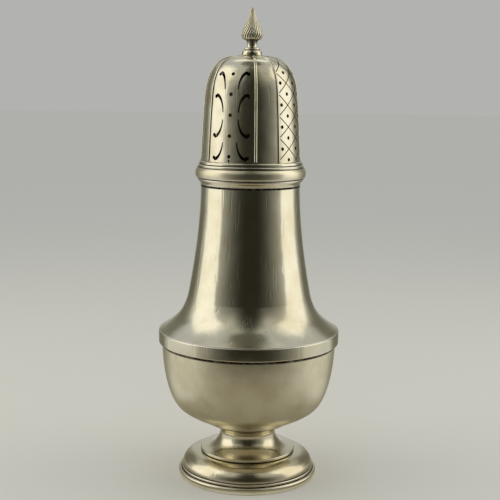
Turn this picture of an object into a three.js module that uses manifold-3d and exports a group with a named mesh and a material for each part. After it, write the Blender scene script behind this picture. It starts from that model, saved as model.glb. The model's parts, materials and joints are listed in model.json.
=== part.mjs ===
// Baluster sugar caster in silver: a hollow waisted body on a spread foot, and a pierced dome
// cover with a wrythen flame finial that pulls off upwards. Millimetres, +Z up, with the origin
// on the ground at the middle of the foot. The side with the scroll panel looks along -Y.

import * as THREE from "three";
import { mergeVertices } from "three/addons/utils/BufferGeometryUtils.js";
import Module from "manifold-3d";

const wasm = await Module();
wasm.setup();

// Metal and fits
const sheet = 0.65; // wall of the foot, bowl and body
const domeWall = 0.65; // wall of the pierced dome
const solderGap = 0.1; // radial room between a ring and the wall it is soldered to
const roundSteps = 36; // flats round every large turned piece
const smallSteps = 20; // flats round the small turned pieces of the finial

// Foot
const footRadius = 28.45; // outside of the wire that the foot stands on
const footRimHeight = 2.6;
const footRimWidth = 2.9; // radial width of the wire
const footRimRoundOver = 0.4; // softened corners of the wire
const footRimStep = 1.25; // from the outside of the wire in to the bead of the dome
const footBeadHeight = 1.1; // small bead at the lower edge of the foot's dome
const footBeadGroove = 0.7; // how far the line above the bead is drawn in
const footBeadRoundOver = 0.3;
const footSwellStart = 0.4; // the dome's swell starts this far above the bead
const footDomeHeight = 7.1; // from the wire to the disc
const discRadius = 19.4; // stepped disc under the stem
const discEdgeHeight = 1.4;
const discTopStep = 0.3; // the stem's flare starts this far in from the disc's edge
const discRoundOver = 0.2;
const discGroove = 0.5; // the disc's lower corner, which makes the dark line under it
const stemRadius = 11.3; // waist of the stem
const stemWaistHeight = 8.4; // waist above the underside of the disc
const stemHeight = 12.3; // underside of the disc to the bowl

// Bowl and girdle
const bowlBaseRadius = 16.5; // flat underside, on the flared top of the stem
const bowlBaseFillet = 0.2; // the stem's top stands in by this much
const bowlTurnRadius = 27.85; // where the base turns up into the side
const bowlTurnHeight = 6.4;
const bowlHeight = 36.4; // underside to the seam behind the girdle
const girdleRadius = 36.8;
const girdleThickness = 1.3; // the band's projection from the wall behind it
const girdleAbove = 2.7; // height of the band above the seam
const girdleBelow = 2.5; // height of the band below the seam
const girdleRoundOver = 0.35; // softened corners of the band

// Body
const shoulderRadius = 25.1; // where the shoulder runs out into the neck
const shoulderHeight = 13.7; // above the top of the girdle
const shoulderLip = 0.15; // edge of the shoulder, lying on the girdle
const bodyHeight = 58.9; // top of the girdle to the top of the neck
const neckRadius = 19.95;
const neckEdge = 0.35; // softened top edge of the neck, which makes the dark line above it
const neckRingHeight = 2.9;
const neckRingProjection = 1.3; // past the neck, at its top
const neckRingHollow = 0.36; // share of the projection at mid height: the ring is hollow outside
const neckRingRoundOver = 0.3;

// Cover
const sleeveClearance = 0.2; // radial room of the sleeve in the neck
const sleeveWall = 0.6;
const sleeveDepth = 9; // reach of the sleeve into the neck
const coverRimHeight = 4.3;
const coverRimProjection = 0.95; // past the neck ring
const coverRimChamfer = 0.8; // undercut that makes the dark line between cover and neck ring
const coverRimChamferRise = 0.7; // height of the undercut, as a share of its depth
const coverRimBelly = [0.35, 0.58]; // the widest stretch, as shares of the rim's height
const coverRimTurn = 0.78; // share of the height where the round-over is a third done
const mouldingHeight = 2.75; // two small steps between the rim and the dome
const mouldingProjection = 1.6; // past the dome, at the lower step
const mouldingMiddle = 0.48; // the lower step's share of the height
const mouldingUpper = 0.62; // the upper step's share of the projection
const mouldingRoundOver = 0.3;
const domeHeight = 41.1; // top of the two steps to the crown
const domeTurnHeight = 26; // where the side turns over, above the two steps
const domeTurnInset = 1.6; // how far the side has drawn in by then
const crownFlat = 4.6; // radius of the flat under the finial

// Applied wires on the dome
const widePanel = 62; // degrees between the wires of a pierced panel
const firstPanel = -25.5; // degrees from -Y towards +X, middle of the front scroll panel
const ribWidth = 1.1;
const ribRise = 0.42;
const ribSeat = 0.08; // solder under the wire
const ribFootGap = 0.25; // above the two steps
const ribShoulder = { side: 0.75, rise: 0.7 }; // shares of half the width and of the rise

// Piercing: heights are measured along the dome's outside from its foot. Sides are measured
// round its foot, and narrow with the dome further up.
const dotRadius = 0.62;
const dotCorners = 6;
const scrollDotStart = 2.4;
const scrollDotPitch = 7.95;
const scrollDotRows = 5;
const pinDotRadius = 0.36; // small hole under the lowest dot of a scroll panel
const pinDotHeight = 0.75;
const scrollMiddle = 18; // the scrolls mirror above and below this height
const scrollTails = [ // where the thin ends start, out from the middle of the panel
  { side: 3.5, rise: 1.35 },
  { side: 3.1, rise: 10.1 },
];
const scrollSpine = [ // from the thin end round to the head: outward, away, half width
  { out: 0, away: 0, half: 0.12 },
  { out: 0.25, away: 1.9, half: 0.22 },
  { out: 0.8, away: 3.7, half: 0.32 },
  { out: 1.6, away: 5.15, half: 0.42 },
  { out: 2.6, away: 6.15, half: 0.5 },
  { out: 3.4, away: 6.5, half: 0.53 },
  { out: 4, away: 6.42, half: 0.53 },
];
const scrollHead = { out: 4.25, away: 6.05, radius: 0.62 }; // the drilled end of a scroll
const scrollSteps = 7;
const latticePitch = 8.45; // height of one diamond of the lattice
const latticeStart = 1.2;
const latticeColumns = 4; // half diamonds across a panel
const latticeRows = 5; // dots in a low column, with one fewer in the columns between
const latticeEdgeShift = 0.36; // dots beside a wire, as a share of a column in from it

// Finial
const buttonRadius = 4.05;
const buttonHeight = 2.25;
const buttonBelly = 0.35; // share of the button's height where it is widest
const buttonRoundOver = 0.45;
const buttonStepRadius = 3.3; // thin disc on top of the button
const buttonStepHeight = 0.95;
const buttonStepEdge = [0.45, 0.8]; // the disc's upright edge, as shares of its height
const spoolRadius = 2.05;
const spoolHeight = 2.4;
const spoolFlare = 0.5; // how far the spool widens at both ends, and how high each flare is
const flameRadius = 4.4;
const flameHeight = 13.3;
const flameProfile = [ // shares of the flame's radius and height, from the spool to near the tip
  [0.72, 0.03], [0.93, 0.085], [1, 0.165], [0.965, 0.25], [0.84, 0.35], [0.67, 0.48],
  [0.5, 0.6], [0.37, 0.71], [0.27, 0.81], [0.2, 0.9], [0.13, 0.965],
];
const flameTwist = 70; // degrees that a reed turns from base to tip
const flameReeds = 24;
const reedDepth = 0.1; // share of the local radius
const studRadius = 1;
const studClearance = 0.12;
const studInFlame = 1.9; // how far the stud reaches into the spool
const studBelowNut = 0.7;
const washerRadius = 3;
const washerHeight = 0.5;
const nutSides = 6;
const nutAcrossFlats = 4.2;
const nutHeight = 1.8;

// Working values of the cutting
const weldDistance = 1e-4; // points of a mesh closer than this are one
const cutDepth = 6 * domeWall; // length of a cutter, half of it outside the dome

// Heights of the joints, from the ground up
const footDomeBase = footRimHeight;
const discBase = footDomeBase + footDomeHeight;
const bowlBase = discBase + stemHeight;
const seamHeight = bowlBase + bowlHeight;
const shoulderBase = seamHeight + girdleAbove;
const neckTop = shoulderBase + bodyHeight;
const coverBase = neckTop + neckRingHeight;
const coverRimTop = coverBase + coverRimHeight;
const domeFoot = coverRimTop + mouldingHeight;
const crownTop = domeFoot + domeHeight;
const buttonTop = crownTop + buttonHeight;
const finialSeat = buttonTop + buttonStepHeight;
const flameBase = finialSeat + spoolHeight;

// Radii that follow from the fits
const seatRadius = girdleRadius - girdleThickness;
const neckBore = neckRadius - sheet;
const neckRingRadius = neckRadius + neckRingProjection;
const sleeveRadius = neckBore - sleeveClearance;
const coverRimRadius = neckRingRadius + coverRimProjection;
const domeFootRadius = sleeveRadius + domeWall;
const mouldingRadius = domeFootRadius + mouldingProjection;
const beadRadius = footRadius - footRimStep;
const studBore = studRadius + studClearance;

// A cubic curve between two points [radius, height], in some straight runs. Its two handles,
// leave and arrive, are shares of the way between the points.
function sweepCurve(from, to, { leave, arrive, runs }) {
  const at = (share) => new THREE.Vector2(
    from[0] + (to[0] - from[0]) * share[0],
    from[1] + (to[1] - from[1]) * share[1],
  );
  const curve = new THREE.CubicBezierCurve(at([0, 0]), at(leave), at(arrive), at([1, 1]));
  return curve.getPoints(runs).map((point) => [point.x, point.y]);
}

// Moves an outline that runs upwards inwards by a wall, square to itself at each point.
function insetOutline(outline, wall) {
  return outline.map((point, index) => {
    const before = outline[Math.max(index - 1, 0)];
    const after = outline[Math.min(index + 1, outline.length - 1)];
    const along = new THREE.Vector2(after[0] - before[0], after[1] - before[1]).normalize();
    return [point[0] - along.y * wall, point[1] + along.x * wall];
  });
}

// Every other point of an outline, with both ends: enough for the inside of a bulging wall.
function coarser(outline) {
  const last = outline.length - 1;
  return outline.filter((point, index) => (last - index) % 2 === 0 || index === 0);
}

// Turns a closed outline, outside upwards and inside downwards, about the upright axis.
function turned(outline, steps = roundSteps) {
  const points = outline.map(([radius, height]) => new THREE.Vector2(radius, height));
  const onAxis = points[0].x === 0 && points[points.length - 1].x === 0;
  if (!onAxis) points.push(points[0].clone());
  return new THREE.LatheGeometry(points, steps).rotateX(Math.PI / 2);
}

// Outlines of the foot
function footRimOutline() {
  const inner = footRadius - footRimWidth;
  const soft = footRimRoundOver;
  return [
    [inner, 0],
    [footRadius - soft / 2, 0],
    [footRadius, soft],
    [footRadius, footRimHeight - soft],
    [footRadius - soft, footRimHeight],
    [inner, footRimHeight],
  ];
}

const footDomeCurve = sweepCurve(
  [beadRadius - footBeadGroove / 2, footDomeBase + footBeadHeight + footSwellStart],
  [discRadius - discGroove, discBase],
  { leave: [0.04, 0.6], arrive: [0.39, 1], runs: 6 },
);

function footDomeOutline() {
  const soft = footBeadRoundOver;
  const outside = [
    [beadRadius, footDomeBase],
    [beadRadius, footDomeBase + footBeadHeight - soft],
    [beadRadius - soft, footDomeBase + footBeadHeight],
    [beadRadius - footBeadGroove, footDomeBase + footBeadHeight],
    ...footDomeCurve,
  ];
  const inside = coarser(insetOutline(footDomeCurve, sheet + footBeadGroove / 2)).reverse();
  const lip = discRadius - discGroove - 2 * sheet;
  inside[0] = [lip, discBase - sheet];
  const skirt = beadRadius - footBeadGroove - sheet;
  return [...outside, [lip, discBase], ...inside, [skirt, footDomeBase]];
}

const stemFlareCurve = sweepCurve(
  [discRadius - discTopStep, discBase + discEdgeHeight],
  [stemRadius, discBase + stemWaistHeight],
  { leave: [0.55, 0.08], arrive: [0.99, 0.3], runs: 5 },
);
const stemTopCurve = sweepCurve(
  [stemRadius, discBase + stemWaistHeight],
  [bowlBaseRadius - bowlBaseFillet, bowlBase],
  { leave: [0.01, 0.37], arrive: [0.53, 0.75], runs: 3 },
);

function footStemOutline() {
  const outside = [
    [discRadius - discGroove, discBase],
    [discRadius, discBase + discGroove],
    [discRadius, discBase + discEdgeHeight - discRoundOver],
    ...stemFlareCurve,
    ...stemTopCurve.slice(1),
  ];
  const column = [...stemFlareCurve.slice(2), ...stemTopCurve.slice(1)];
  const inside = insetOutline(column, sheet).reverse();
  inside[0] = [bowlBaseRadius - bowlBaseFillet - sheet, bowlBase];
  const mouth = inside[inside.length - 1][0];
  return [...outside, ...inside, [mouth, discBase]];
}

// Outline of the bowl, from its flat base up to the seam
function bowlOutline() {
  const turn = [bowlTurnRadius, bowlBase + bowlTurnHeight];
  const base = sweepCurve([bowlBaseRadius, bowlBase], turn, {
    leave: [0.29, 0.31],
    arrive: [0.72, 0.61],
    runs: 2,
  });
  const side = sweepCurve(turn, [seatRadius, seamHeight], {
    leave: [0.31, 0.055],
    arrive: [0.975, 0.3],
    runs: 6,
  });
  const outside = [...base, ...side.slice(1)];
  const inside = insetOutline(outside, sheet).reverse();
  inside[0] = [seatRadius - sheet, seamHeight];
  inside[inside.length - 1] = [bowlBaseRadius, bowlBase + sheet];
  return [[0, bowlBase], ...outside, ...inside, [0, bowlBase + sheet]];
}

function girdleOutline() {
  const inner = seatRadius + solderGap;
  const low = seamHeight - girdleBelow;
  const middle = seamHeight + girdleAbove / 4;
  const soft = girdleRoundOver;
  return [
    [inner, low],
    [girdleRadius - 2 * soft, low],
    [girdleRadius - soft, low + soft],
    [girdleRadius, middle],
    [girdleRadius, shoulderBase - soft],
    [girdleRadius - soft, shoulderBase],
    [inner, shoulderBase],
  ];
}

// Outline of the waisted body, from the seam behind the girdle up to the neck
function bodyOutline() {
  const flange = girdleRadius - girdleRoundOver;
  const turn = [shoulderRadius, shoulderBase + shoulderHeight];
  const shoulder = sweepCurve([flange, shoulderBase + shoulderLip], turn, {
    leave: [0.67, 0.34],
    arrive: [0.83, 0.54],
    runs: 5,
  });
  const neck = sweepCurve(turn, [neckRadius, neckTop - neckEdge], {
    leave: [0.2, 0.12],
    arrive: [0.95, 0.56],
    runs: 4,
  });
  const swept = [...shoulder, ...neck.slice(1)];
  const outside = [
    [seatRadius, seamHeight],
    [seatRadius, shoulderBase],
    [flange, shoulderBase],
    ...swept,
    [neckRadius - neckEdge, neckTop],
  ];
  const inside = insetOutline(swept.slice(2), sheet).reverse();
  inside[0] = [neckBore, neckTop];
  const seatBore = seatRadius - sheet;
  return [...outside, ...inside, [seatBore, shoulderBase - sheet], [seatBore, seamHeight]];
}

function neckRingOutline() {
  const soft = neckRingRoundOver;
  return [
    [neckBore, neckTop],
    [neckRadius - neckEdge / 4, neckTop],
    [neckRadius + soft / 2, neckTop + soft],
    [neckRadius + neckRingProjection * neckRingHollow, neckTop + neckRingHeight / 2],
    [neckRingRadius, coverBase - soft],
    [neckRingRadius - soft, coverBase],
    [neckBore, coverBase],
  ];
}

// Outlines of the cover
function sleeveOutline() {
  const low = coverBase - sleeveDepth;
  const inner = sleeveRadius - sleeveWall;
  return [[inner, low], [sleeveRadius, low], [sleeveRadius, coverRimTop], [inner, coverRimTop]];
}

function coverRimOutline() {
  const inner = sleeveRadius + solderGap;
  const top = coverRimRadius - coverRimChamfer;
  return [
    [inner, coverBase],
    [top, coverBase],
    [coverRimRadius - coverRimChamfer / 4, coverBase + coverRimChamfer * coverRimChamferRise],
    [coverRimRadius, coverBase + coverRimHeight * coverRimBelly[0]],
    [coverRimRadius, coverBase + coverRimHeight * coverRimBelly[1]],
    [(coverRimRadius * 2 + top) / 3, coverBase + coverRimHeight * coverRimTurn],
    [top, coverRimTop],
    [inner, coverRimTop],
  ];
}

function mouldingOutline() {
  const inner = domeFootRadius + solderGap;
  const lower = mouldingHeight * mouldingMiddle;
  const upperRadius = domeFootRadius + mouldingProjection * mouldingUpper;
  const soft = mouldingRoundOver;
  return [
    [inner, coverRimTop],
    [mouldingRadius - soft, coverRimTop],
    [mouldingRadius, coverRimTop + soft],
    [mouldingRadius - soft / 3, coverRimTop + lower - soft],
    [upperRadius - soft, coverRimTop + lower],
    [upperRadius, coverRimTop + lower + soft],
    [upperRadius - soft / 2, domeFoot - 2 * soft],
    [inner + soft, domeFoot],
    [inner, domeFoot],
  ];
}

// The dome's outside above the two steps, also followed by the wires and the piercing
const domeTurn = [domeFootRadius - domeTurnInset, domeFoot + domeTurnHeight];
const domeSide = sweepCurve([domeFootRadius, domeFoot], domeTurn, {
  leave: [0.28, 0.36],
  arrive: [0.62, 0.74],
  runs: 3,
});
const domeTop = sweepCurve(domeTurn, [crownFlat, crownTop], {
  leave: [0.095, 1.05],
  arrive: [0.776, 0.955],
  runs: 8,
});
const domeCurve = [...domeSide, ...domeTop.slice(1)];
const domePath = new THREE.CurvePath();
for (let index = 1; index < domeCurve.length; index += 1) {
  const ends = [domeCurve[index - 1], domeCurve[index]].map(([x, y]) => new THREE.Vector2(x, y));
  domePath.add(new THREE.LineCurve(ends[0], ends[1]));
}
const domeLength = domePath.getLength();

function domeOutline() {
  const inside = coarser(insetOutline(domeCurve, domeWall)).reverse();
  inside[0] = [crownFlat, crownTop - domeWall];
  return [
    [domeFootRadius, coverRimTop],
    ...domeCurve,
    [studBore, crownTop],
    [studBore, crownTop - domeWall],
    ...inside,
    [domeFootRadius - domeWall, coverRimTop],
  ];
}

// Where a place on the dome lies in space, with the ways out of it, round it and up it.
// The angle is in degrees from -Y towards +X; the height is measured along the outside.
function domeFrame(angle, height) {
  const share = THREE.MathUtils.clamp(height / domeLength, 0, 1);
  const point = domePath.getPointAt(share);
  const along = domePath.getTangentAt(share);
  const turn = THREE.MathUtils.degToRad(angle);
  const outward = new THREE.Vector3(Math.sin(turn), -Math.cos(turn), 0);
  const round = new THREE.Vector3(Math.cos(turn), Math.sin(turn), 0);
  const up = outward.clone().multiplyScalar(along.x).setZ(along.y);
  const out = outward.clone().multiplyScalar(along.y).setZ(-along.x);
  const place = outward.clone().multiplyScalar(point.x).setZ(point.y);
  return { place, out, round, up, radius: point.x };
}

// Stands a shape that was drawn in X and Y, and is deep along Z, on a place of the dome.
function standOnDome(geometry, frame, depth) {
  const start = frame.place.clone().addScaledVector(frame.out, -depth / 2);
  const matrix = new THREE.Matrix4().makeBasis(frame.round, frame.up, frame.out);
  return geometry.applyMatrix4(matrix.setPosition(start));
}

function toSolid(geometry) {
  const bare = geometry.clone();
  bare.deleteAttribute("normal");
  bare.deleteAttribute("uv");
  const merged = mergeVertices(bare, weldDistance);
  const mesh = new wasm.Mesh({
    numProp: 3,
    vertProperties: new Float32Array(merged.attributes.position.array),
    triVerts: new Uint32Array(merged.index.array),
  });
  return new wasm.Manifold(mesh);
}

function toGeometry(solid) {
  const mesh = solid.getMesh();
  const geometry = new THREE.BufferGeometry();
  geometry.setAttribute("position", new THREE.BufferAttribute(mesh.vertProperties, 3));
  geometry.setIndex(new THREE.BufferAttribute(mesh.triVerts, 1));
  geometry.computeVertexNormals();
  return geometry;
}

function dotCutter(angle, height, radius = dotRadius) {
  const shape = new THREE.Shape();
  for (let corner = 0; corner < dotCorners; corner += 1) {
    const turn = ((corner + 0.5) / dotCorners) * 2 * Math.PI;
    const point = [radius * Math.cos(turn), radius * Math.sin(turn)];
    if (corner === 0) shape.moveTo(...point);
    else shape.lineTo(...point);
  }
  const prism = new THREE.ExtrudeGeometry(shape, { depth: cutDepth, bevelEnabled: false });
  return toSolid(standOnDome(prism, domeFrame(angle, height), cutDepth));
}

// Degrees round the dome that take up a length at its foot
function degreesRound(side) {
  return THREE.MathUtils.radToDeg(side / domeFootRadius);
}

// One hooked scroll of a panel, with its drilled head. Side is -1 or +1 from the panel's middle,
// rise -1 or +1 from the pattern's mid height. The stroke is thin at its tail.
function scrollCutter(panel, tail, side, rise) {
  const spine = new THREE.SplineCurve(scrollSpine.map(({ out, away }) => (
    new THREE.Vector2(tail.side + out, tail.rise + away)
  )));
  const halfWidth = new THREE.SplineCurve(scrollSpine.map(({ half }, index) => (
    new THREE.Vector2(index, half)
  )));
  const angleAt = (out) => panel + degreesRound(side * (tail.side + out));
  const heightAt = (away) => scrollMiddle + rise * (tail.rise + away);
  const middle = scrollSpine[Math.floor(scrollSpine.length / 2)];
  const anchor = domeFrame(angleAt(middle.out), heightAt(middle.away));
  const flatPoint = (point) => {
    const place = domeFrame(
      panel + degreesRound(side * point.x),
      scrollMiddle + rise * point.y,
    ).place.sub(anchor.place);
    return new THREE.Vector2(place.dot(anchor.round), place.dot(anchor.up));
  };
  const edges = { left: [], right: [] };
  for (let step = 0; step <= scrollSteps; step += 1) {
    const share = step / scrollSteps;
    const centre = spine.getPoint(share);
    const along = spine.getTangent(share);
    const half = halfWidth.getPoint(share).y;
    const across = new THREE.Vector2(-along.y, along.x).multiplyScalar(half);
    edges.left.push(flatPoint(centre.clone().add(across)));
    edges.right.push(flatPoint(centre.clone().sub(across)));
  }
  const shape = new THREE.Shape([...edges.left, ...edges.right.reverse()]);
  const prism = new THREE.ExtrudeGeometry(shape, { depth: cutDepth, bevelEnabled: false });
  const stroke = toSolid(standOnDome(prism, anchor, cutDepth));
  const head = dotCutter(
    angleAt(scrollHead.out),
    heightAt(scrollHead.away),
    scrollHead.radius,
  );
  return stroke.add(head);
}

function scrollPanelCutters(panel) {
  const cutters = [dotCutter(panel, pinDotHeight, pinDotRadius)];
  for (let row = 0; row < scrollDotRows; row += 1) {
    cutters.push(dotCutter(panel, scrollDotStart + row * scrollDotPitch));
  }
  for (const tail of scrollTails) {
    for (const side of [-1, 1]) {
      for (const rise of [-1, 1]) cutters.push(scrollCutter(panel, tail, side, rise));
    }
  }
  return cutters;
}

// Dots in the middles of the diamonds; every other column is half a diamond higher.
function latticePanelCutters(panel) {
  const cutters = [];
  const columnAngle = widePanel / latticeColumns;
  for (let column = 0; column <= latticeColumns; column += 1) {
    const lifted = column % 2 === 0;
    const outermost = column === 0 || column === latticeColumns;
    const inward = outermost ? Math.sign(latticeColumns / 2 - column) * latticeEdgeShift : 0;
    const angle = panel - widePanel / 2 + (column + inward) * columnAngle;
    const rows = lifted ? latticeRows - 1 : latticeRows;
    const start = latticeStart + (lifted ? latticePitch / 2 : 0);
    for (let row = 0; row < rows; row += 1) {
      cutters.push(dotCutter(angle, start + row * latticePitch));
    }
  }
  return cutters;
}

function piercedDome() {
  const cutters = [0, 2].flatMap((turn) => [
    ...scrollPanelCutters(firstPanel + 90 * turn),
    ...latticePanelCutters(firstPanel + 90 * (turn + 1)),
  ]);
  const dome = toSolid(turned(domeOutline()));
  return toGeometry(dome.subtract(wasm.Manifold.union(cutters)));
}

// Half-round wire from the foot of the dome up its side and over to the finial
function ribGeometry(angle) {
  const reach = buttonRadius + ribWidth / 2 + ribSeat;
  const spare = Math.max(reach - domeCurve[domeCurve.length - 1][0], 0);
  const corners = domePath.getCurveLengths().slice(0, -1);
  const heights = [ribFootGap, ...corners, domeLength - spare];
  const points = heights.map((height) => {
    const frame = domeFrame(angle, height);
    return frame.place.addScaledVector(frame.out, ribSeat);
  });
  const steps = points.length - 1;
  const half = ribWidth / 2;
  const section = new THREE.Shape([
    new THREE.Vector2(-half, 0),
    new THREE.Vector2(-half * ribShoulder.side, ribRise * ribShoulder.rise),
    new THREE.Vector2(0, ribRise),
    new THREE.Vector2(half * ribShoulder.side, ribRise * ribShoulder.rise),
    new THREE.Vector2(half, 0),
  ]);
  const flat = new THREE.ExtrudeGeometry(section, { depth: steps, steps, bevelEnabled: false });
  return bendAlong(flat, points, angle);
}

// Lays a straight extrusion, one unit long a step, along points of the dome at one angle.
function bendAlong(geometry, points, angle) {
  const turn = THREE.MathUtils.degToRad(angle);
  const round = new THREE.Vector3(Math.cos(turn), Math.sin(turn), 0);
  const position = geometry.attributes.position;
  for (let index = 0; index < position.count; index += 1) {
    const station = Math.round(position.getZ(index));
    const before = points[Math.max(station - 1, 0)];
    const after = points[Math.min(station + 1, points.length - 1)];
    const along = after.clone().sub(before).normalize();
    const out = round.clone().cross(along).normalize();
    const place = points[station].clone();
    place.addScaledVector(round, -position.getX(index));
    place.addScaledVector(out, position.getY(index));
    position.setXYZ(index, place.x, place.y, place.z);
  }
  geometry.computeVertexNormals();
  return geometry;
}

// Finial
function buttonOutline() {
  const soft = buttonRoundOver;
  return [
    [studBore, crownTop],
    [buttonRadius - soft / 3, crownTop],
    [buttonRadius, crownTop + buttonHeight * buttonBelly],
    [buttonRadius - soft / 3, buttonTop - soft * 1.4],
    [buttonRadius - soft * 1.5, buttonTop],
    [buttonStepRadius - soft, buttonTop + soft / 3],
    [buttonStepRadius, buttonTop + buttonStepHeight * buttonStepEdge[0]],
    [buttonStepRadius, buttonTop + buttonStepHeight * buttonStepEdge[1]],
    [buttonStepRadius - soft / 2, finialSeat],
    [studBore, finialSeat],
  ];
}

// Spool and flame in one casting. The reeds start below the widest ring and wind to the tip.
function flameGeometry() {
  const stud = finialSeat + studInFlame + studClearance;
  const spool = [
    [0, stud],
    [studBore, stud],
    [studBore, finialSeat],
    [spoolRadius + spoolFlare, finialSeat],
    [spoolRadius, finialSeat + spoolFlare],
    [spoolRadius, flameBase - spoolFlare],
    [spoolRadius + spoolFlare, flameBase],
  ];
  const outline = [
    ...spool,
    ...flameProfile.map(([wide, high]) => [flameRadius * wide, flameBase + flameHeight * high]),
    [0, flameBase + flameHeight],
  ];
  const columns = flameReeds * 2;
  const points = outline.map(([radius, height]) => new THREE.Vector2(radius, height));
  const geometry = new THREE.LatheGeometry(points, columns);
  const position = geometry.attributes.position;
  for (let index = 0; index < position.count; index += 1) {
    const row = index % outline.length;
    const column = Math.floor(index / outline.length) % columns;
    const [radius, height] = outline[row];
    const share = (height - flameBase) / flameHeight;
    const reeded = row >= spool.length && row < outline.length - 1;
    const groove = reeded && column % 2 === 0 ? reedDepth : 0;
    const lean = row >= spool.length - 1 ? flameTwist * share : 0;
    const turn = (column / columns) * 2 * Math.PI + THREE.MathUtils.degToRad(lean);
    const reach = radius * (1 - groove);
    position.setXYZ(index, reach * Math.sin(turn), height, reach * Math.cos(turn));
  }
  geometry.rotateX(Math.PI / 2);
  geometry.computeVertexNormals();
  return geometry;
}

function studOutline() {
  const top = finialSeat + studInFlame;
  const low = crownTop - domeWall - washerHeight - nutHeight - studBelowNut;
  return [[0, low], [studRadius, low], [studRadius, top], [0, top]];
}

function washerOutline() {
  const top = crownTop - domeWall;
  const low = top - washerHeight;
  return [[studBore, low], [washerRadius, low], [washerRadius, top], [studBore, top]];
}

function nutGeometry() {
  const top = crownTop - domeWall - washerHeight;
  const corner = nutAcrossFlats / 2 / Math.cos(Math.PI / nutSides);
  const shape = new THREE.Shape();
  for (let side = 0; side < nutSides; side += 1) {
    const turn = (side / nutSides) * 2 * Math.PI;
    const point = [corner * Math.cos(turn), corner * Math.sin(turn)];
    if (side === 0) shape.moveTo(...point);
    else shape.lineTo(...point);
  }
  shape.holes.push(new THREE.Path().absarc(0, 0, studBore, 0, 2 * Math.PI, true));
  const nut = new THREE.ExtrudeGeometry(shape, {
    depth: nutHeight,
    bevelEnabled: false,
    curveSegments: smallSteps / 2,
  });
  return nut.translate(0, 0, top - nutHeight);
}

// Colours of the silver where it is bright, worn satin, or dulled inside
const bright = { color: 0xc9c5b4, roughness: 0.16, metalness: 1 };
const satin = { color: 0xbdb69c, roughness: 0.36, metalness: 1 };
const worn = { color: 0xb3ab92, roughness: 0.28, metalness: 1 };
const inner = { color: 0x9c968a, roughness: 0.45, metalness: 1 };
const screw = { color: 0x8f887a, roughness: 0.5, metalness: 1 };

function piece(name, geometry, finish) {
  const mesh = new THREE.Mesh(geometry, new THREE.MeshStandardMaterial(finish));
  mesh.name = name;
  return mesh;
}

const body = new THREE.Group();
body.add(
  piece("foot_rim", turned(footRimOutline()), worn),
  piece("foot_dome", turned(footDomeOutline()), bright),
  piece("foot_stem", turned(footStemOutline()), bright),
  piece("bowl", turned(bowlOutline()), satin),
  piece("girdle_band", turned(girdleOutline()), worn),
  piece("body_shell", turned(bodyOutline()), bright),
  piece("neck_ring", turned(neckRingOutline()), worn),
);

const cover = new THREE.Group();
cover.add(
  piece("cover_sleeve", turned(sleeveOutline()), inner),
  piece("cover_rim", turned(coverRimOutline()), bright),
  piece("cover_moulding", turned(mouldingOutline()), bright),
  piece("cover_dome", piercedDome(), bright),
);
for (let panel = 0; panel < 4; panel += 1) {
  const middle = firstPanel + 90 * panel;
  [-1, 1].forEach((side, index) => {
    const name = `cover_rib_${2 * panel + index + 1}`;
    cover.add(piece(name, ribGeometry(middle + (side * widePanel) / 2), bright));
  });
}

const finial = new THREE.Group();
finial.add(
  piece("finial_button", turned(buttonOutline(), smallSteps), bright),
  piece("finial_flame", flameGeometry(), bright),
  piece("finial_stud", turned(studOutline(), smallSteps / 2), screw),
  piece("finial_washer", turned(washerOutline(), smallSteps), screw),
  piece("finial_nut", nutGeometry(), screw),
);
cover.add(finial);

const caster = new THREE.Group();
caster.add(body, cover);

export default caster;
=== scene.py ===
"""Looks of a silver sugar caster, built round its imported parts.

The caster is spun and raised from sheet silver. Its pierced cover pulls off upwards. Meshes are
drawn in millimetres, with +Z up and the front towards -Y, and turned to metres at the end.
"""

import bisect
import json
import logging
import math
from collections.abc import Sequence
from dataclasses import dataclass, field, replace
from enum import Enum

import bmesh
import bpy
from mathutils import Matrix, Vector
from mathutils.geometry import intersect_point_line

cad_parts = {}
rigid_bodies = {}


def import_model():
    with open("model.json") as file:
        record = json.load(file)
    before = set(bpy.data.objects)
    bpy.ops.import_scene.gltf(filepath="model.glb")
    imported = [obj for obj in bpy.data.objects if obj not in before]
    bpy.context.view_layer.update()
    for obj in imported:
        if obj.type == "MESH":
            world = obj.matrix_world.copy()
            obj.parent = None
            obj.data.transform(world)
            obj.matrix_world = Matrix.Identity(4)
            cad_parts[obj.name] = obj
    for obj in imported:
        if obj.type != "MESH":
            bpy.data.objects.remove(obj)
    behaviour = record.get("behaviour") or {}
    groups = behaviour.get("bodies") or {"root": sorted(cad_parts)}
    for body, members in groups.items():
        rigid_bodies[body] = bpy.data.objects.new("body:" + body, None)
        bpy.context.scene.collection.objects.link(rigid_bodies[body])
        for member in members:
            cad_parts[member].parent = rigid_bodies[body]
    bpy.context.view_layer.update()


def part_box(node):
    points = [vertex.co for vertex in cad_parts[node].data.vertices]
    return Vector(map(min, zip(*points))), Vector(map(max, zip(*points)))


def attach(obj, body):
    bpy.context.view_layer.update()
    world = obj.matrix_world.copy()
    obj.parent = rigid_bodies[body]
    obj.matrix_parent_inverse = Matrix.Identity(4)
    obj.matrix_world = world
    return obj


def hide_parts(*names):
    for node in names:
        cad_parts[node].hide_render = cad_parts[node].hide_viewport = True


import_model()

LOG = logging.getLogger("caster")

Point = tuple[float, float]

# A millimetre in metres. The sizes below are in millimetres.
MM = 0.001
# How thick the sheet silver is, and the radius of the holes that the finial's screw goes through.
SHEET = 0.65
SCREW_HOLE = 1.12
# Points that are nearer than this are one point.
SAME = 1e-4
# Points that are nearer to the upright axis than this are on it.
AXIS = 1e-3
# Where two faces meet at more than this many degrees, the edge between them is shaded sharp.
SHARP_ANGLE = 40.0
# A mark of tarnish and painted shade, or of wear and painted highlight, rises this much faster than
# its reach asks, so it is full at its seam.
MARK_GAIN = 2.2


class Part(Enum):
    """The two bodies that the caster comes apart into."""

    BODY = "body"
    COVER = "cover"


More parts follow.
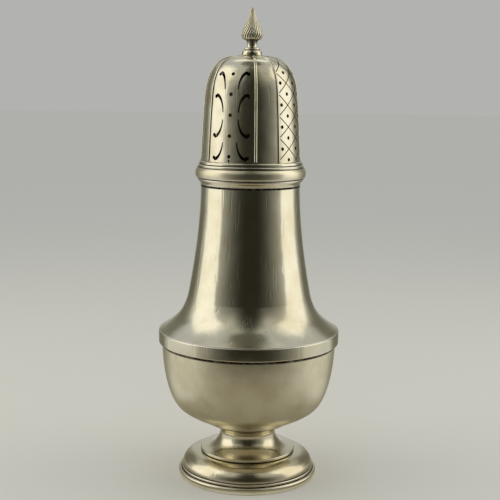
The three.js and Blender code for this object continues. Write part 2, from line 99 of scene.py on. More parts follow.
class Facets(Enum):
    """How finely a turned piece is divided round its axis."""

    LARGE = 144
    SMALL = 72


def linear(hex_colour: str) -> tuple[float, float, float, float]:
    """Turns an sRGB colour into the linear values that a shader takes.

    Args:
        hex_colour: six hexadecimal digits, such as "c8c0ac".

    Returns:
        Red, green, blue and alpha, each from 0 to 1.
    """
    def channel(start: int) -> float:
        """One channel of the colour, as a linear value."""
        value = int(hex_colour[start:start + 2], 16) / 255
        return value / 12.92 if value <= 0.04045 else ((value + 0.055) / 1.055) ** 2.4

    return channel(0), channel(2), channel(4), 1.0


def smooth(share: float) -> float:
    """Eases a share, which goes from 0 to 1, in and out."""
    return share * share * (3 - 2 * share)


def add_node(
    tree: bpy.types.NodeTree, kind: str, gives: str | int, inputs: dict[str | int, object],
    **settings: object,
) -> bpy.types.NodeSocket:
    """Adds one node to a tree.

    Args:
        tree: the tree of a material.
        kind: the node's type.
        gives: the output that is wanted.
        inputs: what each input takes, a value or the output of another node.
        settings: the node's own settings.

    Returns:
        The wanted output.
    """
    node = tree.nodes.new(kind)
    for name, value in settings.items():
        setattr(node, name, value)
    for name, value in inputs.items():
        if isinstance(value, bpy.types.NodeSocket):
            tree.links.new(value, node.inputs[name])
        else:
            node.inputs[name].default_value = value
    return node.outputs[gives]


@dataclass(frozen=True)
class SilverFinish:
    """One finish of sterling silver, from bright polish to dull inside metal.

    The clean metal is a pale warm white. Tarnish starts as a straw yellow film in patches. The
    attribute "soil" marks the seams, where the colour turns brown black: tarnish in the joints,
    and painted shade where parts overlap and shadow lines fall. The attribute "rub" marks edges
    that are scuffed, whose colour is lifted towards white as a painted highlight along them, and
    "dull" marks metal that is less glossy than the rest of its piece. Sizes are in millimetres. A
    range gives the values of a noise at which its pattern starts and at which it is whole.
    """

    title: str
    slot: str
    clean: str = "f4f0df"
    film: str = "cbbf94"
    # The brown black of the seams: tarnish, and painted shade between the parts.
    tarnish_shade_colour: str = "1b160d"
    # The near white of a rubbed edge: wear, and a painted highlight along it.
    rubbed: str = "fffaf0"
    film_amount: float = 0.4
    film_patch: float = 14.0
    film_range: Point = (0.35, 0.7)
    tarnish_shade_patch: float = 1.6
    tarnish_shade_range: Point = (0.3, 0.55)
    tarnish_shade_least: float = 0.75
    tarnish_shade_gloss: float = 0.55
    rub_gloss: float = 0.33
    gloss: float = 0.09
    haze: float = 0.08
    dulling: float = 0.08
    # Real scratches are too fine to show in a picture of the whole caster, so these are wider.
    scratch_width: float = 0.35
    scratch_length: float = 9.0
    scratch_cut: float = 0.05
    scratch_depth: float = 0.4
    scratch_range: Point = (0.62, 0.72)
    scratch_turns: tuple[tuple[float, float, float], ...] = ((0.3, 0.5, 0.2), (1.3, 0.1, 0.9))
    wave_length: float = 10.0
    wave_depth: float = 0.16

    def material(self) -> bpy.types.Material:
        """Builds the finish as a material, or returns it if it was built before."""
        made = bpy.data.materials.get(self.title)
        if made is not None:
            return made
        made = bpy.data.materials.new(self.title)
        made.use_nodes = True
        tree = made.node_tree
        place = add_node(tree, "ShaderNodeTexCoord", "Object", {})
        # Seams darken towards brown black: tarnish in the joints, and painted shade where parts
        # overlap.
        marked = add_node(tree, "ShaderNodeAttribute", "Fac", {}, attribute_name="tarnish_and_shade")
        specks = add_node(tree, "ShaderNodeTexNoise", "Fac", {
            "Vector": place, "Scale": 1 / (self.tarnish_shade_patch * MM), "Detail": 2.0,
        })
        uneven = add_node(tree, "ShaderNodeMapRange", 0, {
            "Value": specks, "From Min": self.tarnish_shade_range[0], "From Max": self.tarnish_shade_range[1],
            "To Min": self.tarnish_shade_least,
        })
        tarnish_and_shade = add_node(tree, "ShaderNodeMath", 0, {0: marked, 1: uneven}, operation="MULTIPLY")
        patches = add_node(tree, "ShaderNodeTexNoise", "Fac", {
            "Vector": place, "Scale": 1 / (self.film_patch * MM), "Detail": 4.0,
        })
        film = add_node(tree, "ShaderNodeMapRange", 0, {
            "Value": patches, "From Min": self.film_range[0], "From Max": self.film_range[1],
            "To Max": self.film_amount,
        }, interpolation_type="SMOOTHSTEP")
        metal = add_node(tree, "ShaderNodeMix", 2, {
            0: film, 6: linear(self.clean), 7: linear(self.film),
        }, data_type="RGBA")
        # Rubbed edges lighten towards white: wear, and a painted highlight along the edge.
        rub_and_glint = add_node(tree, "ShaderNodeAttribute", "Fac", {}, attribute_name="rub_and_glint")
        bright = add_node(tree, "ShaderNodeMix", 2, {
            0: rub_and_glint, 6: metal, 7: linear(self.rubbed),
        }, data_type="RGBA")
        shade = add_node(tree, "ShaderNodeMix", 2, {
            0: tarnish_and_shade, 6: bright, 7: linear(self.tarnish_shade_colour),
        }, data_type="RGBA")
        handled = add_node(tree, "ShaderNodeAttribute", "Fac", {}, attribute_name="dull")
        even = add_node(tree, "ShaderNodeMapRange", 0, {
            "Value": handled, "To Min": self.gloss, "To Max": self.gloss + self.dulling,
        })
        dull = add_node(tree, "ShaderNodeMath", 0, {
            0: patches, 1: self.haze, 2: even,
        }, operation="MULTIPLY_ADD")
        scuffed = add_node(tree, "ShaderNodeMapRange", 0, {
            "Value": rub_and_glint, "To Min": dull, "To Max": self.rub_gloss,
        })
        rough = add_node(tree, "ShaderNodeMapRange", 0, {
            "Value": tarnish_and_shade, "To Min": scuffed, "To Max": self.tarnish_shade_gloss,
        })
        shader = tree.nodes["Principled BSDF"]
        shader.inputs["Metallic"].default_value = 1.0
        tree.links.new(shade, shader.inputs["Base Color"])
        tree.links.new(rough, shader.inputs["Roughness"])
        tree.links.new(self.relief(tree, place), shader.inputs["Normal"])
        return made

    def relief(
        self, tree: bpy.types.NodeTree, place: bpy.types.NodeSocket
    ) -> bpy.types.NodeSocket:
        """Adds what hammering and handling leave: slow waves, and scratches two ways.

        Args:
            tree: the material's tree.
            place: the object coordinates.

        Returns:
            The bent normal.
        """
        waves = add_node(tree, "ShaderNodeTexNoise", "Fac", {
            "Vector": place, "Scale": 1 / (self.wave_length * MM), "Detail": 1.0,
        })
        bent = add_node(tree, "ShaderNodeBump", 0, {
            "Height": waves, "Strength": self.wave_depth, "Distance": MM,
        })
        # A scratch is about a quarter of the noise's cell.
        cell = 4 * self.scratch_width
        for turn in self.scratch_turns:
            streaks = add_node(tree, "ShaderNodeMapping", 0, {
                "Vector": place, "Rotation": turn,
                "Scale": (1.0, 1.0, self.scratch_width / self.scratch_length),
            })
            fine = add_node(tree, "ShaderNodeTexNoise", "Fac", {
                "Vector": streaks, "Scale": 1 / (cell * MM), "Detail": 2.0,
            })
            cut = add_node(tree, "ShaderNodeMapRange", 0, {
                "Value": fine, "From Min": self.scratch_range[0],
                "From Max": self.scratch_range[1],
            }, interpolation_type="SMOOTHSTEP")
            bent = add_node(tree, "ShaderNodeBump", 0, {
                "Height": cut, "Strength": self.scratch_depth,
                "Distance": self.scratch_cut * MM, "Normal": bent,
            }, invert=True)
        return bent


# The neck's sheet, spun and hand polished for years: a soft mirror with a warm cast and fine wear.
POLISHED = SilverFinish("spun_silver_polished", "polished_silver")
# The raised bowl, worn by handling to a satin: it shows the room only as soft light and dark.
SATIN = SilverFinish(
    "raised_silver_satin", "satin_silver", clean="faf4de", film="cfc398", film_amount=0.35,
    film_patch=9.0, gloss=0.31,
)
# The drawn wires of the foot and mouth: broad soft lights, and brown at their joints, which is
# tarnish and painted shade.
WORN = SilverFinish(
    "drawn_silver_worn", "worn_silver", clean="f5eed8", film="cdbf94", film_amount=0.45,
    gloss=0.15,
)
# The foot and its stem, spun, and rubbed by years of cloths: softer lights than on the neck.
RUBBED = replace(WORN, title="spun_silver_rubbed", slot="polished_silver")
# The girdle's band, drawn through a die and burnished: a mirror with one scuffed edge, lit by a
# painted highlight.
DRAWN = replace(POLISHED, title="drawn_silver_burnished", slot="worn_silver")
# The cover's rim, held at each use: nearly as satin as the bowl, with wide and quiet lights.
HELD = replace(SATIN, title="rolled_silver_satin", slot="polished_silver", gloss=0.27)
# The dome's sheet and its wires, polished over sawn edges: a mirror that is a little uneven.
PIERCED = SilverFinish(
    "pierced_silver_bright", "pierced_silver", film_patch=8.0, gloss=0.17, wave_length=7.0,
)
# Sawn walls and engraved lines, where polish never reaches: brown black and matt.
CUT = SilverFinish(
    "sawn_silver_darkened", "pierced_silver", clean="2e281c", film="1c180f", film_amount=0.9,
    gloss=0.5, haze=0.15,
)
# The cast and chased finial: bright crests, and tarnish lying in the grooves.
CAST = SilverFinish(
    "cast_silver_chased", "cast_silver", clean="f8f2de", film="d2c79c", film_patch=3.0,
    film_amount=0.25, tarnish_shade_patch=3.0, gloss=0.08, haze=0.06,
)
# The cover's sleeve, which slides in the neck and is never polished: grey, with a dull sheen.
INNER = SilverFinish(
    "sheet_silver_dull", "inner_silver", clean="c4bba2", film="8f8564", film_amount=0.7,
    gloss=0.34, haze=0.16,
)
# The screw, washer and nut, turned and left inside the crown: duller and darker than the sheet.
SCREW = SilverFinish(
    "turned_screw_dull", "screw_metal", clean="b3a98f", film="7f7658", film_amount=0.6,
    film_patch=2.0, gloss=0.4, haze=0.15,
)


@dataclass(frozen=True)
class Extent:
    """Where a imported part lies, in millimetres."""

    low: float
    high: float
    radius: float

    @classmethod
    def of(cls, node: str) -> "Extent":
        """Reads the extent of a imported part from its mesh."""
        low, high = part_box(node)
        return cls(low.z / MM, high.z / MM, high.x / MM)


@dataclass(frozen=True)
class Corner:
    """A corner of an outline, and how far it is rounded over."""

    radius: float
    height: float
    soft: float = 0.0


@dataclass(frozen=True)
class Bend:
    """How a curve leaves its start and reaches its end.

    Each handle is a share of the way from start to end, in radius and in height.
    """

    leave: Point
    arrive: Point


@dataclass
class Outline:
    """A closed outline that is turned about the upright axis.

    Near a seam or a rubbed edge it is divided at each seam step. The wear and painted highlight of
    a rubbed edge have one reach, and a seam's tarnish and painted shade have their own on each
    piece.
    """

    corners: list[Corner] = field(default_factory=list)
    soft_segments: int = 4
    seam_step: float = 0.14
    rub_glint_reach: float = 0.32

    def to(self, radius: float, height: float, soft: float = 0.0) -> "Outline":
        """Runs straight on to a corner, and returns the outline."""
        self.corners.append(Corner(radius, height, soft))
        return self

    def near(self, radius: float, height: float, corners: Sequence[Corner]) -> "Outline":
        """Runs on to corners that are given from one place, and returns the outline."""
        for corner in corners:
            self.to(radius + corner.radius, height + corner.height, corner.soft)
        return self

    def through(self, points: Sequence[Point]) -> "Outline":
        """Runs through the points of a curve, and returns the outline."""
        for radius, height in points:
            self.to(radius, height)
        return self

    def turned(
        self, facets: Facets, seams: Sequence[Point] = (), reach: float = 0.0,
        edges: Sequence[Point] = (),
    ) -> bmesh.types.BMesh:
        """Turns the outline into a closed solid, and marks its seams and its rubbed edges.

        Args:
            facets: how finely it is divided round the axis.
            seams: radius and height of each seam that holds tarnish and painted shade.
            reach: how far from a seam the tarnish and painted shade fade out.
            edges: radius and height of each edge that handling has rubbed, which a painted
                highlight lightens.

        Returns:
            The mesh, in millimetres.
        """
        shape, points = self.wire()
        for soft in sorted({corner.soft for corner in self.corners if corner.soft > 0}):
            chosen = [
                point for point, corner in zip(points, self.corners) if corner.soft == soft
            ]
            bmesh.ops.bevel(
                shape, geom=chosen, offset=soft, offset_type="OFFSET",
                segments=self.soft_segments, profile=0.5, affect="VERTICES", material=-1,
            )
        self.divide_near(shape, seams, reach)
        self.divide_near(shape, edges, self.rub_glint_reach)
        spin_round(shape, facets.value)
        bmesh.ops.recalc_face_normals(shape, faces=shape.faces[:])
        mark_near(shape, "tarnish_and_shade", seams, reach)
        mark_near(shape, "rub_and_glint", edges, self.rub_glint_reach)
        return shape

    def wire(self) -> tuple[bmesh.types.BMesh, list[bmesh.types.BMVert]]:
        """Draws the outline as a wire, which is left open where both ends are on the axis.

        Returns:
            The mesh, and its points in the order of the corners.
        """
        shape = bmesh.new()
        points = [shape.verts.new((corner.radius, 0, corner.height)) for corner in self.corners]
        for start, end in zip(points, points[1:]):
            shape.edges.new((start, end))
        if points[0].co.x > 0 or points[-1].co.x > 0:
            shape.edges.new((points[-1], points[0]))
        return shape, points

    def divide_near(
        self, shape: bmesh.types.BMesh, seams: Sequence[Point], reach: float
    ) -> None:
        """Divides the outline finely where a mark has to fade out along it.

        Args:
            shape: the outline as a wire.
            seams: radius and height of each seam or rubbed edge.
            reach: how far from it the mark fades out.
        """
        for edge in shape.edges[:]:
            start, end = (point.co.copy() for point in edge.verts)
            cuts = int((end - start).length / self.seam_step)
            for radius, height in seams:
                seam = Vector((radius, 0, height))
                share = intersect_point_line(seam, start, end)[1]
                nearest = start.lerp(end, min(max(share, 0), 1))
                if cuts > 0 and (nearest - seam).length < reach:
                    bmesh.ops.bisect_edges(shape, edges=[edge], cuts=cuts)
                    break


def spin_round(shape: bmesh.types.BMesh, steps: int) -> None:
    """Spins a wire once round the upright axis, and merges what meets there."""
    bmesh.ops.spin(
        shape, geom=shape.verts[:] + shape.edges[:], cent=(0, 0, 0), axis=(0, 0, 1),
        angle=2 * math.pi, steps=steps, use_merge=True,
    )
    bmesh.ops.remove_doubles(shape, verts=shape.verts[:], dist=SAME)


def shifted(place: Point, by: Point) -> Point:
    """The place that is some way out and up from another."""
    return place[0] + by[0], place[1] + by[1]


def sweep(start: Point, end: Point, bend: Bend, steps: int) -> list[Point]:
    """Draws a cubic curve between two places on an outline.

    Args:
        start: radius and height where it starts.
        end: radius and height where it ends.
        bend: its two handles.
        steps: how many straight runs it is made of.

    Returns:
        The points of the curve, both ends among them.
    """
    def between(index: int, share: float) -> float:
        """One coordinate of the curve at a share of its run."""
        rest = 1 - share
        leave, arrive = bend.leave[index], bend.arrive[index]
        way = 3 * rest * rest * share * leave + 3 * rest * share * share * arrive
        return start[index] + (end[index] - start[index]) * (way + share ** 3)

    return [(between(0, i / steps), between(1, i / steps)) for i in range(steps + 1)]


def inset(points: list[Point], wall: float) -> list[Point]:
    """Moves an outline that runs upwards inwards by a wall, square to itself."""
    moved = []
    for index, (radius, height) in enumerate(points):
        before = points[max(index - 1, 0)]
        after = points[min(index + 1, len(points) - 1)]
        along = Vector((after[0] - before[0], after[1] - before[1])).normalized()
        moved.append((radius - along.y * wall, height + along.x * wall))
    return moved


def smooth_between(marks: list[Vector], share: float) -> Vector:
    """Finds a point on the smooth line through some marks.

    Args:
        marks: the marks, evenly shared out along the line.
        share: how far along the line, from 0 to 1.

    Returns:
        The point.
    """
    last = len(marks) - 1
    index = min(int(share * last), last - 1)
    part = share * last - index
    start, end = marks[index], marks[index + 1]
    before = marks[index - 1] if index > 0 else start * 2 - end
    after = marks[index + 2] if index + 2 <= last else end * 2 - start
    return 0.5 * (
        2 * start + (end - before) * part
        + (2 * before - 5 * start + 4 * end - after) * part ** 2
        + (3 * start - before - 3 * end + after) * part ** 3
    )


def skin(shape: bmesh.types.BMesh, loops: list[list[Vector]]) -> None:
    """Skins a row of closed loops of points into one solid, closed at both ends.

    Args:
        shape: the mesh that it is added to.
        loops: the loops, each with as many points as the others.
    """
    rings = []
    for loop in loops:
        points = [shape.verts.new(point) for point in loop]
        rings.append([shape.edges.new(pair) for pair in zip(points, points[1:] + points[:1])])
    for ring, following in zip(rings, rings[1:]):
        bmesh.ops.bridge_loops(shape, edges=ring + following)
    for end in (rings[0], rings[-1]):
        bmesh.ops.contextual_create(shape, geom=end)


def mark_near(
    shape: bmesh.types.BMesh, title: str, seams: Sequence[Point], reach: float
) -> None:
    """Marks the metal near some circles round the axis.

    Args:
        shape: the mesh, in millimetres.
        title: the attribute that holds the mark, 1 at a circle and 0 away from it.
        seams: radius and height of each circle.
        reach: how far from a circle the mark fades out.
    """
    layer = shape.verts.layers.float.new(title)
    for point in shape.verts:
        radius = math.hypot(point.co.x, point.co.y)
        gap = min(
            (math.hypot(radius - seam[0], point.co.z - seam[1]) for seam in seams),
            default=reach,
        )
        near = min(1.0, MARK_GAIN * max(0.0, 1 - gap / reach)) if reach > 0 else 0.0
        point[layer] = smooth(near)


def as_mesh(shape: bmesh.types.BMesh, name: str) -> bpy.types.Mesh:
    """Turns a shape into a mesh, and frees the shape."""
    mesh = bpy.data.meshes.new(name)
    shape.to_mesh(mesh)
    shape.free()
    return mesh


def add_object(name: str, data: bpy.types.ID) -> bpy.types.Object:
    """Puts a mesh, a lamp or a camera in the scene."""
    added = bpy.data.objects.new(name, data)
    bpy.context.scene.collection.objects.link(added)
    return added


def place_piece(
    shape: bmesh.types.BMesh, name: str, part: Part, finish: SilverFinish, nodes: list[str],
    even: bool = True,
) -> bpy.types.Object:
    """Turns a finished shape into a piece of the caster.

    Args:
        shape: the mesh in millimetres, which is freed.
        name: the piece's name.
        part: the body that it moves with.
        finish: its silver.
        nodes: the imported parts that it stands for.
        even: whether its shading follows its larger faces.

    Returns:
        The new object.
    """
    bmesh.ops.scale(shape, vec=(MM, MM, MM), verts=shape.verts[:])
    mesh = as_mesh(shape, name)
    piece = add_object(name, mesh)
    mesh.materials.append(finish.material())
    mesh.shade_smooth()
    mesh.set_sharp_from_angle(angle=math.radians(SHARP_ANGLE))
    if even:
        weighting = piece.modifiers.new("even_shading", "WEIGHTED_NORMAL")
        weighting.keep_sharp = True
    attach(piece, part.value)
    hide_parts(*nodes)
    LOG.info("%s: %d faces, for %s", name, len(mesh.polygons), ", ".join(nodes))
    return piece


# In the assemblies below, a soft is how far a corner is rounded over, a worn edge is where handling
# has rubbed it and a painted highlight lightens it, given from its corner, and a reach is how far a
# mark fades out.


@dataclass
class Foot:
    """The spread foot: the wire that it stands on, its dome, and the stem on a stepped disc."""

    wall: float = SHEET
    wire_width: float = 2.9
    wire_inner_soft: float = 0.2
    wire_low_soft: float = 0.45
    wire_top_soft: float = 0.75
    wire_rub_glint: Point = (-0.25, -0.25)
    wire_seam_reach: float = 0.5
    bead_height: float = 1.1
    bead_soft: float = 0.4
    bead_groove: float = 0.7
    bead_rub_glint: Point = (-0.15, -0.2)
    swell_rise: float = 0.4
    swell: Bend = Bend((0.04, 0.6), (0.39, 1.0))
    dome_seam_reach: float = 0.45
    disc_groove: float = 0.5
    disc_edge: float = 1.4
    disc_soft: float = 0.12
    disc_lip: Point = (0.3, 0.2)
    disc_rub_glint: Point = (-0.05, 0.0)
    waist_radius: float = 11.3
    waist_height: float = 8.4
    top_radius: float = 16.3
    flare: Bend = Bend((0.55, 0.08), (0.99, 0.3))
    rise: Bend = Bend((0.01, 0.37), (0.53, 0.75))
    stem_seam_reach: float = 0.6
    steps: int = 28

    def build(self) -> None:
        """Builds the three pieces of the foot."""
        self.wire = Extent.of("foot_rim")
        self.dome = Extent.of("foot_dome")
        self.stem = Extent.of("foot_stem")
        self.build_wire()
        self.build_dome()
        self.build_stem()

    def build_wire(self) -> None:
        """Builds the drawn wire under the foot."""
        low, high, outer = self.wire.low, self.wire.high, self.wire.radius
        inner = outer - self.wire_width
        outline = Outline()
        outline.to(inner, low, self.wire_inner_soft).to(outer, low, self.wire_low_soft)
        outline.to(outer, high, self.wire_top_soft).to(inner, high)
        shape = outline.turned(
            Facets.LARGE, [(self.dome.radius, high)], self.wire_seam_reach,
            [shifted((outer, high), self.wire_rub_glint)],
        )
        place_piece(shape, "foot_wire", Part.BODY, WORN, ["foot_rim"])

    def build_dome(self) -> None:
        """Builds the spun dome of the foot, with the bead at its edge."""
        low, high, bead = self.dome.low, self.dome.high, self.dome.radius
        bead_top = low + self.bead_height
        lip = self.stem.radius - self.disc_groove
        groove = (bead - self.bead_groove, bead_top)
        foot = (bead - self.bead_groove / 2, bead_top + self.swell_rise)
        outside = sweep(foot, (lip, high), self.swell, self.steps)
        inside = inset(outside, self.wall + self.bead_groove / 2)[-2::-1]
        mouth = lip - 2 * self.wall
        outline = Outline()
        outline.to(bead, low).to(bead, bead_top, self.bead_soft).to(*groove).through(outside)
        outline.to(mouth, high).to(mouth, high - self.wall)
        outline.through([point for point in inside if point[0] > mouth])
        outline.to(bead - self.bead_groove - self.wall, low)
        shape = outline.turned(
            Facets.LARGE, [groove, (lip, high), (bead, low)], self.dome_seam_reach,
            [shifted((bead, bead_top), self.bead_rub_glint)],
        )
        place_piece(shape, "spread_foot", Part.BODY, RUBBED, ["foot_dome"])

    def build_stem(self) -> None:
        """Builds the hollow stem, from its stepped disc to the underside of the bowl."""
        low, high, disc = self.stem.low, self.stem.high, self.stem.radius
        edge_top = low + self.disc_edge
        waist = (self.waist_radius, low + self.waist_height)
        top = (self.top_radius, high)
        flare = sweep((disc - self.disc_lip[0], edge_top), waist, self.flare, self.steps)
        rise = sweep(waist, top, self.rise, self.steps // 2)[1:]
        inside = inset(flare[self.steps // 3:] + rise, self.wall)[-2::-1]
        outline = Outline().to(disc - self.disc_groove, low)
        outline.to(disc, low + self.disc_groove, self.disc_soft)
        outline.to(disc, edge_top - self.disc_lip[1], self.disc_soft)
        outline.through(flare).through(rise)
        outline.to(self.top_radius - self.wall, high).through(inside).to(inside[-1][0], low)
        shape = outline.turned(
            Facets.LARGE, [(disc - self.disc_groove, low), top], self.stem_seam_reach,
            [shifted((disc, edge_top), self.disc_rub_glint)],
        )
        place_piece(shape, "stem_on_disc", Part.BODY, RUBBED, ["foot_stem"])


@dataclass
class Bowl:
    """The raised bowl and the band over its seam."""

    wall: float = SHEET
    base_radius: float = 16.5
    turn_radius: float = 27.85
    turn_height: float = 6.4
    base: Bend = Bend((0.29, 0.31), (0.72, 0.61))
    side: Bend = Bend((0.31, 0.055), (0.975, 0.3))
    bowl_seam_reach: float = 1.5
    band_wall: float = 1.2
    band_taper: float = 0.05
    band_low_soft: float = 0.45
    band_middle_soft: float = 0.4
    band_top_soft: float = 0.48
    band_rub_glint: Point = (-0.12, -0.08)
    band_seam_reach: float = 0.9
    steps: int = 44

    def build(self) -> None:
        """Builds the bowl and its band."""
        self.extent = Extent.of("bowl")
        self.band = Extent.of("girdle_band")
        self.build_bowl()
        self.build_band()

    def build_bowl(self) -> None:
        """Builds the bowl, closed below and open at the seam."""
        low, high, radius = self.extent.low, self.extent.high, self.extent.radius
        turn = (self.turn_radius, low + self.turn_height)
        base = sweep((self.base_radius, low), turn, self.base, self.steps // 3)
        outside = base + sweep(turn, (radius, high), self.side, self.steps)[1:]
        outline = Outline().to(0, low).through(outside)
        outline.through(inset(outside, self.wall)[::-1]).to(0, low + self.wall)
        # Under the band the bowl darkens to a black line: tarnish in the joint, and painted shadow
        # under the band.
        shape = outline.turned(
            Facets.LARGE, [(radius, self.band.low), (self.base_radius, low)],
            self.bowl_seam_reach,
        )
        place_piece(shape, "raised_bowl", Part.BODY, SATIN, ["bowl"])

    def build_band(self) -> None:
        """Builds the moulded band over the seam."""
        low, high, outer = self.band.low, self.band.high, self.band.radius
        inner = outer - self.band_wall
        outline = Outline()
        outline.to(inner, low).to(outer - self.band_taper, low, self.band_low_soft)
        outline.to(outer, (low + high) / 2, self.band_middle_soft)
        outline.to(outer, high, self.band_top_soft).to(inner, high)
        shape = outline.turned(
            Facets.LARGE, [(inner, low)], self.band_seam_reach,
            [shifted((outer, high), self.band_rub_glint)],
        )
        place_piece(shape, "girdle_moulding", Part.BODY, DRAWN, ["girdle_band"])


@dataclass
class Neck:
    """The shoulder and long waisted neck, and the moulded ring round its mouth."""

    wall: float = SHEET
    seat_inset: float = 1.3
    seat_clearance: float = 1.5
    flange_inset: float = 0.25
    flange_edge: float = 0.15
    shoulder_radius: float = 25.1
    shoulder_height: float = 13.7
    shoulder: Bend = Bend((0.67, 0.34), (0.83, 0.54))
    neck_radius: float = 19.95
    neck_edge: float = 0.35
    neck: Bend = Bend((0.2, 0.12), (0.95, 0.56))
    shell_seam_reach: float = 0.6
    dull_reach: float = 22.0
    ring_foot: Point = (0.15, 0.3)
    ring_hollow: Bend = Bend((0.15, 0.5), (0.85, 0.7))
    ring_edge: float = 0.5
    ring_soft: float = 0.25
    ring_seam_inset: float = 0.4
    ring_rub_glint: Point = (0.0, -0.2)
    ring_seam_reach: float = 0.5
    ring_steps: int = 12
    steps: int = 48

    def build(self) -> None:
        """Builds the shell and its ring."""
        self.shell = Extent.of("body_shell")
        self.band = Extent.of("girdle_band")
        self.ring = Extent.of("neck_ring")
        self.bore = self.neck_radius - self.wall
        self.build_shell()
        self.build_ring()

    def build_shell(self) -> None:
        """Builds the shoulder and neck in one."""
        seam, top, base = self.shell.low, self.shell.high, self.band.high
        seat, flange = self.band.radius - self.seat_inset, self.band.radius - self.flange_inset
        edge = (flange, base + self.flange_edge)
        turn = (self.shoulder_radius, base + self.shoulder_height)
        neck_top = (self.neck_radius, top - self.neck_edge)
        outside = sweep(edge, turn, self.shoulder, self.steps)
        outside += sweep(turn, neck_top, self.neck, self.steps)[1:]
        inside = inset(outside, self.wall)[::-1]
        reach = seat - self.seat_clearance
        outline = Outline()
        outline.to(seat, seam).to(seat, base).to(flange, base).through(outside)
        outline.to(self.neck_radius - self.neck_edge, top).to(self.bore, top)
        outline.through([point for point in inside if point[0] < reach][1:])
        outline.to(seat - self.wall, base - self.wall).to(seat - self.wall, seam)
        shape = outline.turned(
            Facets.LARGE, [(self.neck_radius, top)], self.shell_seam_reach, [edge],
        )
        mark_near(shape, "dull", [(flange, base)], self.dull_reach)
        place_piece(shape, "shoulder_and_neck", Part.BODY, POLISHED, ["body_shell"])

    def build_ring(self) -> None:
        """Builds the ring round the mouth, slightly hollow outside."""
        low, high, outer = self.ring.low, self.ring.high, self.ring.radius
        foot = shifted((self.neck_radius, low), self.ring_foot)
        hollow = sweep(foot, (outer, high - self.ring_edge), self.ring_hollow, self.ring_steps)
        outline = Outline().to(self.bore, low).to(self.neck_radius - self.neck_edge / 4, low)
        outline.through(hollow).to(outer, high, self.ring_soft).to(self.bore, high)
        shape = outline.turned(
            Facets.LARGE, [(self.neck_radius, low), (outer - self.ring_seam_inset, high)],
            self.ring_seam_reach, [shifted((outer, high), self.ring_rub_glint), foot],
        )
        place_piece(shape, "mouth_ring", Part.BODY, WORN, ["neck_ring"])


@dataclass
class CoverRim:
    """The lower part of the cover: its sleeve, broad rounded rim and two small steps."""

    sleeve_wall: float = 0.6
    sleeve_inner_soft: float = 0.15
    sleeve_outer_soft: float = 0.25
    sleeve_seam_reach: float = 1.2
    solder_gap: float = 0.1
    chamfer: float = 0.8
    chamfer_rise: float = 0.7
    chamfer_soft: float = 0.25
    rim_low_soft: float = 0.15
    rim_side: float = 0.35
    rim_side_soft: float = 0.4
    rim_round: float = 0.58
    rim_rounding: Bend = Bend((0.05, 0.45), (0.6, 0.85))
    rim_rounding_steps: int = 12
    rim_rub_glint: Point = (-0.1, 0.6)
    rim_seam: Point = (-0.4, 0.0)
    rim_seam_reach: float = 0.55
    step_share: float = 0.48
    lower_step: tuple[Corner, ...] = (Corner(-0.1, 0.0, 0.2),)
    lower_step_top: tuple[Corner, ...] = (Corner(0.0, -0.1, 0.5),)
    upper_step_width: float = 0.9
    upper_step: tuple[Corner, ...] = (Corner(-0.25, 0.0, 0.1), Corner(0.0, 0.2, 0.2))
    upper_step_top: tuple[Corner, ...] = (Corner(-0.1, -0.3, 0.3),)
    steps_lip: float = 0.1
    steps_seam: Point = (-0.2, 0.0)
    steps_seam_reach: float = 0.35
    lower_step_rub_glint: Point = (-0.1, -0.15)
    upper_step_rub_glint: Point = (-0.05, -0.2)

    def build(self) -> None:
        """Builds the three rings."""
        self.sleeve = Extent.of("cover_sleeve")
        self.rim = Extent.of("cover_rim")
        self.steps = Extent.of("cover_moulding")
        self.build_sleeve()
        self.build_rim()
        self.build_steps()

    def build_sleeve(self) -> None:
        """Builds the tube that fits inside the neck."""
        low, high, outer = self.sleeve.low, self.sleeve.high, self.sleeve.radius
        inner = outer - self.sleeve_wall
        outline = Outline()
        outline.to(inner, low, self.sleeve_inner_soft).to(outer, low, self.sleeve_outer_soft)
        outline.to(outer, high).to(inner, high)
        shape = outline.turned(Facets.LARGE, [(outer, self.rim.low)], self.sleeve_seam_reach)
        place_piece(shape, "inner_sleeve", Part.COVER, INNER, ["cover_sleeve"])

    def build_rim(self) -> None:
        """Builds the broad rim that meets the mouth ring."""
        low, high, outer = self.rim.low, self.rim.high, self.rim.radius
        height = high - low
        top = outer - self.chamfer
        inner = self.sleeve.radius + self.solder_gap
        rounding = sweep(
            (outer, low + self.rim_round * height), (top, high), self.rim_rounding,
            self.rim_rounding_steps,
        )
        outline = Outline().to(inner, low).to(top, low, self.rim_low_soft)
        outline.to(
            outer - self.chamfer / 4, low + self.chamfer_rise * self.chamfer, self.chamfer_soft
        )
        outline.to(outer, low + self.rim_side * height, self.rim_side_soft)
        outline.through(rounding).to(inner, high)
        shape = outline.turned(
            Facets.LARGE, [(top, low), shifted((top, high), self.rim_seam)],
            self.rim_seam_reach, [shifted((outer, low), self.rim_rub_glint)],
        )
        place_piece(shape, "cover_rim_band", Part.COVER, HELD, ["cover_rim"])

    def build_steps(self) -> None:
        """Builds the two small steps above the rim."""
        low, high, outer = self.steps.low, self.steps.high, self.steps.radius
        inner = Extent.of("cover_dome").radius + self.solder_gap
        middle = low + self.step_share * (high - low)
        upper = inner + self.upper_step_width
        outline = Outline().to(inner, low).near(outer, low, self.lower_step)
        outline.near(outer, middle, self.lower_step_top).near(upper, middle, self.upper_step)
        outline.near(upper, high, self.upper_step_top).to(inner + self.steps_lip, high)
        outline.to(inner, high)
        shape = outline.turned(
            Facets.LARGE, [shifted((upper, middle), self.steps_seam), (outer, low), (inner, high)],
            self.steps_seam_reach,
            [
                shifted((outer, middle), self.lower_step_rub_glint),
                shifted((upper, high), self.upper_step_rub_glint),
            ],
        )
        place_piece(shape, "stepped_moulding", Part.COVER, POLISHED, ["cover_moulding"])


